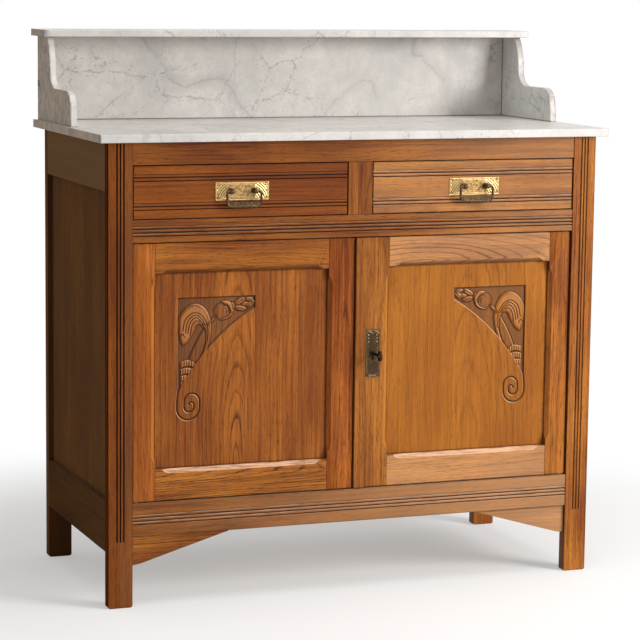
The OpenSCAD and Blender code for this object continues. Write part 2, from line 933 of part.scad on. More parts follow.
// Legs of a right-hand cramp: in through the splash's end, then forward into the gable
module cramp_legs(gap) {
    knee_x = splash_x - gable_t / 2;
    translate([0, cramp_y, ledge_z + cramp_h / 2]) {
        translate([knee_x - gap, 0, 0]) rotate([0, 90, 0])
            cylinder(h = gable_t / 2 + gap + cramp_t / 2, r = cramp_r + gap);
        translate([knee_x, 0, 0]) rotate([90, 0, 0])
            cylinder(h = cramp_y - splash_y0 + cramp_in + gap, r = cramp_r + gap);
        translate([knee_x, 0, 0]) sphere(cramp_r + gap);
    }
}

module gable_cramps() {
    color(iron) stand() on_both() {
        cramp_legs(0);
        along_x(splash_x, splash_x + cramp_t)
            round_rect([cramp_y - cramp_w / 2, ledge_z],
                [cramp_y + cramp_w / 2, ledge_z + cramp_h], cramp_corner);
    }
}

// ---- Doors ----
// A door is drawn with its hinge at +x. The left door is its mirror image.

module hinge_stile() {
    difference() {
        block([panel_edge_x, door_set, door_z], [hinge_x, door_back, door_top]);
        translate([panel_edge_x, door_set, (field_z + field_top) / 2])
            rotate([90, -90, 0])
                stop_chamfer(field_top - field_z - 2 * chamfer_stop, chamfer_w, chamfer_run);
        panel_space(joint_gap);
        door_tenons(panel_edge_x, joint_gap);
        for (z = [door_z, door_top])
            translate([pivot_x, pivot_y, z])
                cylinder(h = 2 * pivot_l, r = pivot_r + pin_gap, center = true);
        // the hinge edge is eased so that it clears the post as the door turns
        translate([hinge_x, door_set, (door_z + door_top) / 2])
            rotate([0, 0, 45]) cube([hinge_ease, hinge_ease, door_h + 2 * cut], center = true);
    }
}

module meeting_stile(edge_x, width) {
    difference() {
        block([edge_x, door_set, door_z], [edge_x + width, door_back, door_top]);
        translate([edge_x + width, door_set, (field_z + field_top) / 2])
            mirror([1, 0, 0]) rotate([90, -90, 0])
                stop_chamfer(field_top - field_z - 2 * chamfer_stop, chamfer_w, chamfer_run);
        panel_space(joint_gap, edge_x + width);
        door_tenons(edge_x + width, joint_gap);
    }
}

// The panel's edges in the frame's grooves, grown by gap
module panel_space(gap, edge_x = drawer_stile_w) {
    block([edge_x - panel_groove - gap, panel_y - gap, field_z - panel_groove - gap],
        [panel_edge_x + panel_groove + gap, panel_y + panel_t + gap,
            field_top + panel_groove + gap]);
}

// Tenons of both rails at the stile edge x, grown by gap as their mortises
module door_tenons(x, gap) {
    y = panel_y + panel_t / 2;
    for (rail = [[door_z, door_bottom_h], [field_top, door_top_h]])
        block([x - tenon_l - gap, y - panel_t / 2 - gap, rail[0] + 2 * tenon_shoulder - gap],
            [x + tenon_l + gap, y + panel_t / 2 + gap,
                rail[0] + rail[1] - 2 * tenon_shoulder + gap]);
}

// A door rail between two stile edges, with its tenons and its stopped chamfer
module door_rail(edge_x, z, height, arris_z, turn, width) {
    middle = (edge_x + panel_edge_x) / 2;
    span = panel_edge_x - edge_x;
    difference() {
        union() {
            block([edge_x, door_set, z], [panel_edge_x, door_back, z + height]);
            intersection() {
                block([edge_x - tenon_l, door_set, z], [panel_edge_x + tenon_l, door_back, z + height]);
                union() {
                    door_tenons(edge_x, 0);
                    door_tenons(panel_edge_x, 0);
                }
            }
        }
        translate([middle, door_set, arris_z]) rotate([turn, 0, 0])
            stop_chamfer(span - 2 * chamfer_stop, width, chamfer_run);
        block([edge_x - tenon_l - cut, panel_y - joint_gap, field_z - panel_groove - joint_gap],
            [panel_edge_x + tenon_l + cut, panel_y + panel_t + joint_gap,
                field_top + panel_groove + joint_gap]);
    }
}

module door_top_rail(edge_x) {
    door_rail(edge_x, field_top, door_top_h, field_top, 180, top_chamfer_w);
}

module door_bottom_rail(edge_x) {
    door_rail(edge_x, door_z, door_bottom_h, field_z, 90, chamfer_w);
}

// Outline of the sunk ground in x and z: a corner under an arch
module ground_outline() {
    difference() {
        translate([ground_x0, tip_z]) square([ground_w, ground_h]);
        translate([0, arch_z]) circle(arch_r, $fn = 360);
    }
}

// Incised line of the volute under the ground's tip: turns that close in, with short straights
module volute() {
    r1 = volute_r;
    r2 = r1 - volute_steps[0];
    r3 = r2 - volute_steps[1];
    r4 = r3 - volute_steps[2];
    x1 = ground_x1 + volute_line - r1;
    x2 = x1 - r1 + r2;
    x3 = x2 + r2 - r3;
    x4 = x3 - r3 + r4;
    z2 = volute_z + volute_heights[0];
    z3 = volute_z + volute_heights[1];
    z4 = volute_z + volute_heights[2];
    line(x1 + r1, volute_z, tip_z + volute_tail);
    turn(x1, volute_z, r1, 180);
    line(x1 - r1, volute_z, z2);
    turn(x2, z2, r2, 0);
    line(x2 + r2, z3, z2);
    turn(x3, z3, r3, 180);
    line(x3 - r3, z3, z4);
    turn(x4, z4, r4, 0);
}

// A straight of an incised line, upright at x
module line(x, z0, z1) {
    translate([x, panel_y, z0]) cylinder(h = z1 - z0, r = volute_line);
}

// A half turn of an incised line round x and z, from the given angle
module turn(x, z, r, from) {
    translate([x, panel_y, z]) rotate([90, 0, 0]) rotate([0, 0, from])
        rotate_extrude(angle = 180) translate([r, 0]) circle(volute_line);
}

module door_panel(edge_x) {
    difference() {
        panel_space(0, edge_x);
        along_y(panel_y - cut, panel_y + ground_d) ground_outline();
        volute();
    }
}

// Pivot pins at the top and the bottom of a door, the lower one with a collar
module door_pivots() {
    pin_l = pivot_l - front_gap - run_gap;
    for (z = [door_z, door_top])
        translate([pivot_x, pivot_y, z]) cylinder(h = 2 * pin_l, r = pivot_r, center = true);
    translate([pivot_x, pivot_y, base_rail_top + run_gap])
        cylinder(h = front_gap - run_gap, r = collar_r);
}

module left_hinge_stile() {
    color(oak) stand() on_left() hinge_stile();
}

module right_hinge_stile() {
    color(light_oak) stand() hinge_stile();
}

module left_meeting_stile() {
    color(oak) stand() on_left() meeting_stile(left_meeting_x, left_meeting_w);
}

module right_meeting_stile() {
    color(light_oak) stand()
        difference() {
            meeting_stile(-meeting_x, right_meeting_w);
            along_y(door_set - cut, door_back + cut) keyhole(keyhole_r + 0.5);
        }
}

module left_door_top_rail() {
    color(oak) stand() on_left() door_top_rail(left_meeting_x + left_meeting_w);
}

module right_door_top_rail() {
    color(light_oak) stand() door_top_rail(right_meeting_w - meeting_x);
}

module left_door_bottom_rail() {
    color(oak) stand() on_left() door_bottom_rail(left_meeting_x + left_meeting_w);
}

module right_door_bottom_rail() {
    color(light_oak) stand() door_bottom_rail(right_meeting_w - meeting_x);
}

module left_door_panel() {
    color(oak) stand() on_left() door_panel(left_meeting_x + left_meeting_w);
}

module right_door_panel() {
    color(light_oak) stand() door_panel(right_meeting_w - meeting_x);
}

module left_door_pivots() {
    color(brass) stand() on_left() door_pivots();
}

module right_door_pivots() {
    color(brass) stand() door_pivots();
}

module meeting_strip() {
    color(light_oak) stand()
        translate([0, 0, door_z]) linear_extrude(door_h)
            difference() {
                round_rect([-meeting_x, door_set - strip_t], [strip_w - meeting_x, door_back], strip_r);
                translate([-meeting_x - cut, door_set]) square([strip_w + 2 * cut, door_t + cut]);
            }
}

// ---- Lock, key and bolts ----

// Keyhole in x and z: a round hole over a slot
module keyhole(r) {
    translate([key_x, key_z]) circle(r);
    translate([key_x - slot_w / 2, key_z - bit_l - 1]) square([slot_w, bit_l + 1]);
}

// A pressed plate with a bead round its edge
module pressed_plate(x, z, width, height, face_y) {
    lo = [x - width / 2, z - height / 2];
    hi = [x + width / 2, z + height / 2];
    along_y(face_y - plate_t, face_y) round_rect(lo, hi, plate_r);
    along_y(face_y - 2 * plate_t, face_y)
        difference() {
            round_rect(lo, hi, plate_r);
            round_rect(lo + [bead_w, bead_w], hi - [bead_w, bead_w], plate_r / 2);
        }
}

module escutcheon() {
    color(bronze) stand()
        difference() {
            pressed_plate(key_x, key_z, escutcheon_w, escutcheon_h, door_set);
            along_y(0, door_set + cut) keyhole(keyhole_r);
        }
}

module lock_case() {
    z0 = key_z - case_h / 2;
    back = case_y + case_d;
    color(iron) stand()
        difference() {
            block([case_x, case_y, z0], [case_x + case_w, back, z0 + case_h]);
            block([case_x + case_wall, case_y - cut, z0 + case_wall],
                [case_x + case_w - case_wall, back - case_wall, z0 + case_h - case_wall]);
            block([case_x - cut, bolt_y - run_gap, key_z - bolt_h / 2 - run_gap],
                [case_x + case_wall + cut, bolt_y + bolt_t + run_gap, key_z + bolt_h / 2 + run_gap]);
            translate([key_x, back + cut, key_z]) rotate([90, 0, 0])
                cylinder(h = case_wall + 2 * cut, r = key_r + pin_gap);
        }
}

// Bolt with its head at the case's edge and its tail over the key's sweep
module lock_bolt() {
    x0 = case_x + run_gap;
    neck_x = x0 + bolt_travel + neck_l;
    tail_x = x0 + case_w - tail_space;
    z0 = key_z - bolt_h / 2;
    tail_top = key_z + tail_z + tail_h;
    color(brass) stand()
        along_y(bolt_y, bolt_y + bolt_t)
            polygon([
                [x0, z0],
                [x0 + head_l, z0],
                [x0 + head_l, key_z + tail_z],
                [tail_x, key_z + tail_z],
                [tail_x, tail_top],
                [neck_x, tail_top],
                [neck_x, z0 + bolt_h],
                [x0, z0 + bolt_h],
            ]);
}

// Outline of the key's bow in y and z: a flat ring with a pierced middle
module bow_outline(y) {
    difference() {
        union() {
            for (side = [-1, 1])
                translate([y, key_z + side * (bow_h / 2 - bow_r)]) circle(bow_r);
            translate([y, key_z - bow_h / 2 + bow_r]) square([bow_r, bow_h - 2 * bow_r]);
            translate([y, key_z - key_r]) square([bow_r + bow_wall, 2 * key_r]);
        }
        translate([y, key_z]) circle(bow_r - bow_wall);
    }
}

module key() {
    tip = case_y + case_d - case_wall / 2;
    bow_y = door_set - key_out + bow_r;
    color(iron) stand() {
        translate([key_x, tip, key_z]) rotate([90, 0, 0])
            cylinder(h = tip - bow_y - bow_r, r = key_r);
        translate([key_x, door_set - 2 * plate_t - run_gap, key_z]) rotate([90, 0, 0])
            cylinder(h = key_collar_t, r = key_collar_r);
        block([key_x - bit_w / 2, bit_y, key_z - bit_l],
            [key_x + bit_w / 2, bit_y + bit_t, key_z]);
        along_x(key_x - bow_t / 2, key_x + bow_t / 2) bow_outline(bow_y);
    }
}

// Keeper on the left door that takes the lock's bolt
module lock_keeper() {
    reach = bolt_travel + keeper_space;
    half_h = bolt_h / 2 + 2 * run_gap;
    back = bolt_y + bolt_t + 2 * run_gap;
    color(brass) stand() on_left()
        difference() {
            block([keeper_x, door_back, key_z - half_h - keeper_ear],
                [keeper_x + reach, back + keeper_wall, key_z + half_h + keeper_ear]);
            block([keeper_x - cut, door_back - cut, key_z - half_h],
                [keeper_x + reach - keeper_wall, back, key_z + half_h]);
        }
}

// Sliding bolt inside the left door, with a knob to push it by
module door_bolt() {
    color(iron) stand() translate([-rod_x, rod_y, rod_top - rod_l]) {
        cylinder(h = rod_l, r = rod_r);
        translate([0, 0, rod_l / 2]) rotate([-90, 0, 0]) {
            cylinder(h = rod_r + knob_out, r = knob_neck_r);
            translate([0, 0, rod_r + knob_out]) sphere(knob_r);
        }
    }
}

// A plate with two staples that the sliding bolt runs in
module bolt_guides() {
    half = rod_r + guide_wall;
    top_z = rod_l - guide_end;
    color(iron) stand() translate([-rod_x, 0, rod_top - rod_l])
        difference() {
            union() {
                block([-half - cut, door_back, 0], [half + cut, door_back + guide_plate_t, top_z]);
                for (z = [guide_end, top_z - guide_end - guide_h])
                    block([-half, door_back, z], [half, rod_y + rod_r + 2, z + guide_h]);
            }
            translate([0, rod_y, -cut])
                cylinder(h = rod_l + 2 * cut, r = rod_r + 2 * pin_gap);
        }
}

// ---- Drawers ----

// Outline of a drawer side's dovetails, in y and z
module dovetails(gap) {
    pitch = drawer_side_h / tail_count;
    root = tail_root * pitch + gap;
    end = root + tail_slope * lap_d;
    for (i = [0 : tail_count - 1])
        translate([drawer_y1, drawer_box_z + (i + 0.5) * pitch])
            polygon([[cut, root], [0, root], [-lap_d - gap, end],
                [-lap_d - gap, -end], [0, -root], [cut, -root]]);
}

// Front board of a drawer, with sockets for the sides' dovetails and a groove for the bottom
module drawer_front() {
    difference() {
        along_x(drawer_x0, drawer_x1)
            difference() {
                translate([drawer_set, drawer_z0]) square([drawer_front_t, drawer_z1 - drawer_z0]);
                for (z = [drawer_z0 + drawer_band, drawer_z1 - drawer_band])
                    reed_band(drawer_reeds, drawer_set, z);
            }
        for (x = [drawer_x0, drawer_x1])
            along_x(x - drawer_side_t - joint_gap, x + drawer_side_t + joint_gap)
                dovetails(joint_gap);
        drawer_bottom_space(joint_gap);
    }
}

function drawer_side_top() = drawer_box_z + drawer_side_h;

module drawer_bottom_space(gap) {
    z = drawer_box_z + drawer_bottom_rise;
    block([drawer_x0 + drawer_side_t - bottom_groove - gap, drawer_y1 - bottom_groove - gap, z - gap],
        [drawer_x1 - drawer_side_t + bottom_groove + gap, drawer_back_y + gap,
            z + drawer_bottom_t + gap]);
}

// Two sides and a back that stands on the bottom
module drawer_box() {
    difference() {
        for (x = [drawer_x0, drawer_x1 - drawer_side_t])
            along_x(x, x + drawer_side_t) {
                dovetails(0);
                translate([drawer_y1 + joint_gap, drawer_box_z])
                    square([drawer_back_y - drawer_y1 - joint_gap, drawer_side_h]);
            }
        drawer_bottom_space(joint_gap);
    }
    block([drawer_x0 + drawer_side_t + joint_gap, drawer_back_y - drawer_side_t,
            drawer_box_z + drawer_bottom_rise + drawer_bottom_t + joint_gap],
        [drawer_x1 - drawer_side_t - joint_gap, drawer_back_y, drawer_side_top()]);
}

module left_drawer_front() {
    color(oak) stand() on_left() drawer_front();
}

module right_drawer_front() {
    color(light_oak) stand() drawer_front();
}

module left_drawer_box() {
    color(inner_oak) stand() on_left() drawer_box();
}

module right_drawer_box() {
    color(inner_oak) stand() drawer_box();
}

module left_drawer_bottom() {
    color(inner_oak) stand() on_left() drawer_bottom_space(0);
}

module right_drawer_bottom() {
    color(inner_oak) stand() drawer_bottom_space(0);
}

// ---- Handles ----

module backplate() {
    pressed_plate(drawer_mid, handle_z, plate_w, plate_h, drawer_set);
}

// Turned posts that carry a bail in a blind hole in each ball
module bail_posts() {
    translate([drawer_mid, 0, handle_z]) on_both()
        translate([bail_posts_w / 2, 0, 0])
            difference() {
                rotate([90, 0, 0]) rotate_extrude() post_profile();
                translate([ball_wall - ball_r, bail_y, 0]) rotate([0, 90, 0])
                    cylinder(h = 2 * ball_r, r = bail_pin_r + pin_gap);
            }
}

// Half profile of a handle's post: a foot, a neck and a ball
module post_profile() {
    translate([0, -plate_y]) square([ball_r + 1, post_foot_t]);
    translate([0, -plate_y]) square([post_neck_r, ball_out]);
    translate([0, -bail_y])
        intersection() {
            circle(ball_r);
            translate([0, -ball_r]) square([ball_r, 2 * ball_r]);
        }
}

// Drop handle: pivot ends and a round wire bent into a loop, with a flat bar across its foot
module bail() {
    leg = bail_w / 2;
    pin_x = bail_posts_w / 2 - ball_r + ball_wall + pin_end;
    foot_z = -bail_drop - grip_h / 2;
    turn_r = grip_r - bail_r;
    translate([drawer_mid, bail_y, handle_z]) {
        on_both() {
            translate([pin_x, 0, 0]) rotate([0, 90, 0])
                cylinder(h = leg - bail_bend - pin_x, r = bail_pin_r);
            translate([leg - bail_bend, 0, -bail_bend]) rotate([90, 0, 0])
                rotate_extrude(angle = 90) translate([bail_bend, 0]) circle(bail_r);
            translate([leg, 0, foot_z + grip_r])
                cylinder(h = -foot_z - grip_r - bail_bend, r = bail_r);
            translate([leg - turn_r, 0, foot_z + grip_r]) rotate([90, 0, 0])
                rotate([0, 0, -90])
                    rotate_extrude(angle = 90) translate([turn_r, 0]) circle(bail_r);
        }
        translate([turn_r - leg, 0, foot_z + bail_r]) rotate([0, 90, 0])
            cylinder(h = 2 * (leg - turn_r), r = bail_r);
        along_y(-grip_t / 2, grip_t / 2)
            intersection() {
                round_rect([-leg - bail_r, foot_z], [leg + bail_r, 0], grip_r);
                translate([-leg, foot_z]) square([2 * leg, grip_h]);
            }
    }
}

module left_backplate() {
    color(bronze) stand() on_left() backplate();
}

module right_backplate() {
    color(bronze) stand() backplate();
}

module left_bail_posts() {
    color(bronze) stand() on_left() bail_posts();
}

module right_bail_posts() {
    color(bronze) stand() bail_posts();
}

module left_bail() {
    color(bronze) stand() on_left() bail();
}

module right_bail() {
    color(bronze) stand() bail();
}

front_left_post();
front_right_post();
rear_left_post();
rear_right_post();
top_rail();
drawer_stile();
frieze_rail();
base_rail();
corner_brackets();
left_side_rails();
right_side_rails();
left_side_panel();
right_side_panel();
back_rails();
back_boards();
cupboard_bottom();
shelf_bearers();
inner_shelf();
drawer_runners();
drawer_kickers();
door_stop();
pivot_sockets();
marble_counter();
marble_splash();
left_gable();
right_gable();
marble_shelf();
gable_cramps();
left_hinge_stile();
left_meeting_stile();
left_door_top_rail();
left_door_bottom_rail();
left_door_panel();
left_door_pivots();
lock_keeper();
bolt_guides();
door_bolt();
right_hinge_stile();
right_meeting_stile();
right_door_top_rail();
right_door_bottom_rail();
right_door_panel();
right_door_pivots();
meeting_strip();
escutcheon();
lock_case();
lock_bolt();
key();
left_drawer_front();
left_drawer_box();
left_drawer_bottom();
left_backplate();
left_bail_posts();
left_bail();
right_drawer_front();
right_drawer_box();
right_drawer_bottom();
right_backplate();
right_bail_posts();
right_bail();
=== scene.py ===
"""Finish of an oak washstand with a marble top, dressed round its construction frame."""
import json
import math

import bmesh
import bpy
import numpy as np
from bpy.props import FloatProperty, FloatVectorProperty, PointerProperty
from mathutils import Matrix, Vector

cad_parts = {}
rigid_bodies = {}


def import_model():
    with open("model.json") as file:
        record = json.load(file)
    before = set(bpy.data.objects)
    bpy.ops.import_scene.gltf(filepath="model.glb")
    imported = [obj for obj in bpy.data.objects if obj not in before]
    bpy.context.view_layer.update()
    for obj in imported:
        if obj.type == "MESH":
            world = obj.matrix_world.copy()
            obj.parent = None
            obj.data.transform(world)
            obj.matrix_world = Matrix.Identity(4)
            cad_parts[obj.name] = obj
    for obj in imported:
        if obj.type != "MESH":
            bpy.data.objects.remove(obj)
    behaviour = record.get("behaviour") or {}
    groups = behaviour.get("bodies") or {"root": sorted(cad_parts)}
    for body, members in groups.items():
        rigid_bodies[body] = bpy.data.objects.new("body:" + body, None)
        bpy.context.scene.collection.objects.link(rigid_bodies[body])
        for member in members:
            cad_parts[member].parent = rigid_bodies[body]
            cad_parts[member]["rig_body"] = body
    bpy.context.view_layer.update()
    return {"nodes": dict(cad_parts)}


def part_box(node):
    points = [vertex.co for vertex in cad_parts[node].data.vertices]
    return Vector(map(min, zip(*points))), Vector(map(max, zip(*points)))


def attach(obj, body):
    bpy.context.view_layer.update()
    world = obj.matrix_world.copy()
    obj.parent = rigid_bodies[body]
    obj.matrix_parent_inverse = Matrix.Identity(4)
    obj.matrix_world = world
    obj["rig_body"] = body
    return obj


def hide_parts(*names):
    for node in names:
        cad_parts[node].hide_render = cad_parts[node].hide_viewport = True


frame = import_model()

bl_info = {
    "name": "Washstand finish",
    "version": (1, 0, 0),
    "blender": (4, 5, 0),
    "location": "View3D > Sidebar > Washstand",
    "description": "Oak, marble and metal finishes, carving and fittings for a washstand",
    "category": "Object",
}

MM = 0.001
PER_MM = (1 / MM,) * 3

FLOAT, VECTOR, COLOUR = "NodeSocketFloat", "NodeSocketVector", "NodeSocketColor"


def paint(code):
    """A colour written as six hex digits, in the linear values that shaders take."""
    parts = [int(code[i:i + 2], 16) / 255 for i in (0, 2, 4)]
    return tuple(p / 12.92 if p <= 0.04045 else ((p + 0.055) / 1.055) ** 2.4 for p in parts)


def colour(label, text, code):
    """A colour setting."""
    return FloatVectorProperty(name=label, description=text, subtype="COLOR", size=3,
                               min=0, max=1, default=paint(code))


def length(label, text, default):
    """A length setting, in metres."""
    return FloatProperty(name=label, description=text, subtype="DISTANCE", unit="LENGTH",
                         min=0, default=default)


# ---- Settings ----

class OakSettings(bpy.types.PropertyGroup):
    """Colours and figure of the wood."""
    light: colour("Light", "Pale wood between the rings", "b4702b")
    deep: colour("Deep", "Wood in the darker patches", "723816")
    line: colour("Ring line", "Dark pores at the start of a ring", "43200e")
    # Old wax is also the colour of painted shade: at edges, in grooves and cuts, on faces turned down and on
    # carved walls turned down or left.
    wax: colour("Old wax", "Dirt and wax gathered in the grooves", "2c130a")
    # Sheen is also the colour of painted sheen and of painted highlights on faces turned to the light.
    sheen: colour("Sheen", "Faded, pale wood", "d6a97c")
    bare_light: colour("Bare light", "Unpolished wood inside", "b08f63")
    bare_line: colour("Bare ring line", "Ring lines of the unpolished wood", "7d5c38")
    ring: length("Ring", "Width of a year's growth", 4.6 * MM)
    arris: length("Arris", "Rounding worn on the boards' edges", 0.7 * MM)


class CarvingSettings(bpy.types.PropertyGroup):
    """Sizes and colours of the carved spandrels on the doors."""
    cell: length("Cell", "Spacing of the carved surface's points", 0.7 * MM)
    plume: length("Plume", "Rise of the plume over the sunk ground", 2.5 * MM)
    # The ground colour is also painted shade of the sunk recess.
    stain: colour("Ground", "Tooled, dusty wood of the sunk ground", "553a2b")
    # The crest colour is rubbed wear and a painted highlight.
    crest: colour("Crest", "Wood rubbed pale on the raised carving", "c58a55")


class MarbleSettings(bpy.types.PropertyGroup):
    """Colours of the marble."""
    white: colour("White", "Body of the stone", "d8d1cb")
    cloud: colour("Cloud", "Grey clouds in the stone", "aeaca6")
    vein: colour("Vein", "Veins and specks", "7d7a77")
    sawn: colour("Sawn", "Rough, stained outer faces", "bba083")
    dirt: colour("Dirt", "Dirt in the joints", "4f4234")


class MetalSettings(bpy.types.PropertyGroup):
    """Colours of the fittings."""
    cell: length("Cell", "Spacing of the pressed plates' points", 0.42 * MM)
    brass: colour("Brass", "Worn brass of the backplates", "d3b27a")
    tarnish: colour("Tarnish", "Tarnish in the brass's hollows", "6a4b22")
    bronze: colour("Bronze", "Dark bronze of the bails and the escutcheon", "69543e")
    iron: colour("Iron", "Black iron of the key and the lock", "34261f")


class StageSettings(bpy.types.PropertyGroup):
    """Light, floor and camera."""
    key: FloatProperty(name="Key light", description="Power of the softbox", default=86, unit="POWER")
    top: FloatProperty(name="Top light", description="Power of the light overhead", default=26, unit="POWER")
    fill: FloatProperty(name="Fill", description="Strength of the light all round", default=0.40, min=0)
    pale: colour("Floor", "Plain pale floor", "faf9f7")
    lens: FloatProperty(name="Lens", description="Focal length in mm", default=136.23, min=20)
    sensor: FloatProperty(name="Sensor", description="Width of the film in mm", default=36)
    place: FloatVectorProperty(name="Camera", description="Where the camera stands", size=3,
                               subtype="TRANSLATION", unit="LENGTH", default=(-1.6595, -4.3250, 1.1363))
    yaw: FloatProperty(name="Yaw", description="Turn of the view to the right", unit="ROTATION",
                       default=math.radians(21.034))
    pitch: FloatProperty(name="Pitch", description="Tilt of the view downwards", unit="ROTATION",
                         default=math.radians(8.05))
    roll: FloatProperty(name="Roll", description="Roll of the camera", unit="ROTATION",
                        default=math.radians(0.673))


class WashstandSettings(bpy.types.PropertyGroup):
    """All settings of the washstand's finish."""
    oak: PointerProperty(type=OakSettings)
    carving: PointerProperty(type=CarvingSettings)
    marble: PointerProperty(type=MarbleSettings)
    metal: PointerProperty(type=MetalSettings)
    stage: PointerProperty(type=StageSettings)


def settings():
    """The scene's settings."""
    return bpy.context.scene.washstand


# ---- Node trees ----

class Net:
    """A shader node tree, with a short call for each kind of node that the finishes use."""

    def __init__(self, tree):
        self.tree = tree

    def node(self, kind, sockets=None, **values):
        """Adds a node and feeds its sockets."""
        made = self.tree.nodes.new(kind)
        for name, value in values.items():
            setattr(made, name, value)
        for name, value in (sockets or {}).items():
            self.feed(made.inputs[name], value)
        return made

    def feed(self, socket, value):
        """Links a socket to a socket, or sets it."""
        if isinstance(value, bpy.types.NodeSocket):
            self.tree.links.new(value, socket)
        elif socket.type == "RGBA" and len(value) == 3:
            socket.default_value = (*value, 1)
        else:
            socket.default_value = value

    def calc(self, operation, a, b=0.0, c=0.0, clamp=False):
        """A step of arithmetic."""
        made = self.node("ShaderNodeMath", {0: a, 1: b, 2: c}, operation=operation, use_clamp=clamp)
        return made.outputs[0]

    def plus(self, a, b, clamp=False):
        """The sum of two numbers."""
        return self.calc("ADD", a, b, clamp=clamp)

    def minus(self, a, b, clamp=False):
        """What is left of a number."""
        return self.calc("SUBTRACT", a, b, clamp=clamp)

    def times(self, a, b):
        """The product of two numbers."""
        return self.calc("MULTIPLY", a, b)

    def line(self, value, slope, start):
        """A value along a line: start, and slope for each 1 of it."""
        return self.calc("MULTIPLY_ADD", value, slope, start)

    def apart(self, a, b):
        """How far two numbers are apart."""
        return self.calc("ABSOLUTE", self.minus(a, b))

    def larger(self, a, b, clamp=False):
        """The larger of two numbers."""
        return self.calc("MAXIMUM", a, b, clamp=clamp)

    def smaller(self, a, b):
        """The smaller of two numbers."""
        return self.calc("MINIMUM", a, b)

    def vector(self, operation, a, b=(0, 0, 0)):
        """A step of arithmetic on vectors."""
        return self.node("ShaderNodeVectorMath", {0: a, 1: b}, operation=operation).outputs[0]

    def parts(self, vector):
        """The three numbers of a vector."""
        return self.node("ShaderNodeSeparateXYZ", {0: vector}).outputs

    def join(self, x, y, z):
        """A vector of three numbers."""
        return self.node("ShaderNodeCombineXYZ", {0: x, 1: y, 2: z}).outputs[0]

    def noise(self, place, waves, detail=2.0, rough=0.5):
        """A noise node; waves is how fine it is, as a number or one for each axis."""
        if not isinstance(waves, (int, float)):
            place, waves = self.vector("MULTIPLY", place, waves), 1.0
        return self.node("ShaderNodeTexNoise", {"Vector": place, "Scale": waves, "Detail": detail,
                                                "Roughness": rough})

    def grey(self, *args, **kwargs):
        """The value of a noise."""
        return self.noise(*args, **kwargs).outputs[0]

    def wander(self, *args, **kwargs):
        """A noise as a vector about 0."""
        return self.vector("SUBTRACT", self.noise(*args, **kwargs).outputs[1], (0.5, 0.5, 0.5))

    def spread(self, value, low, high, to_low=0.0, to_high=1.0, soft=True):
        """Maps a range of values to another, held at its ends."""
        made = self.node("ShaderNodeMapRange", {0: value, 1: low, 2: high, 3: to_low, 4: to_high},
                         interpolation_type="SMOOTHSTEP" if soft else "LINEAR")
        return made.outputs[0]

    def mix(self, mask, a, b, blend="MIX"):
        """A mix of two colours."""
        made = self.node("ShaderNodeMix", {0: mask, 6: a, 7: b}, data_type="RGBA", blend_type=blend)
        return made.outputs[2]

    def group(self, build, **sockets):
        """Places the group that a function builds, once for all, and feeds its inputs by name."""
        tree = bpy.data.node_groups.get(build.__name__) or build(build.__name__)
        return self.node("ShaderNodeGroup", sockets, node_tree=tree).outputs

    def coords(self):
        """Where the point is, in the piece's own frame."""
        return self.node("ShaderNodeTexCoord").outputs["Object"]

    def normal(self):
        """Which way the surface faces."""
        return self.node("ShaderNodeNewGeometry").outputs["Normal"]

    def attribute(self, name):
        """A number that the mesh holds for each point."""
        return self.node("ShaderNodeAttribute", attribute_name=name).outputs["Fac"]


def new_group(name, inputs, outputs):
    """A node group with named sockets, its net, its inputs and a call that feeds its outputs."""
    tree = bpy.data.node_groups.new(name, "ShaderNodeTree")
    for label, kind in inputs:
        tree.interface.new_socket(name=label, in_out="INPUT", socket_type=kind)
    for label, kind in outputs:
        tree.interface.new_socket(name=label, in_out="OUTPUT", socket_type=kind)
    net = Net(tree)
    taken = net.node("NodeGroupInput").outputs
    given = net.node("NodeGroupOutput")

    def give(**values):
        for label, value in values.items():
            net.feed(given.inputs[label], value)
    return net, taken, give


# How fine the wood's figures are: waves for each mm across the face, through it and with the grain
HEART_WAVES, RIPPLE_WAVES = (0.007, 0.007, 0.0024), (0.13, 0.13, 0.02)
PORE_WAVES, FIBRE_WAVES = (0.8, 0.8, 0.06), (0.7, 0.7, 0.01)
STREAK_WAVES, SEAM_WAVES, PATCH_WAVES = (0.17, 0.17, 0.003), (0.07, 0.07, 0.0016), (0.014, 0.014, 0.0036)
# How far a tree's heart wanders across and through a board, and how far its rings ripple, in mm
HEART_SWAY, RIPPLE_SWAY = (46, 34, 0), 4.4


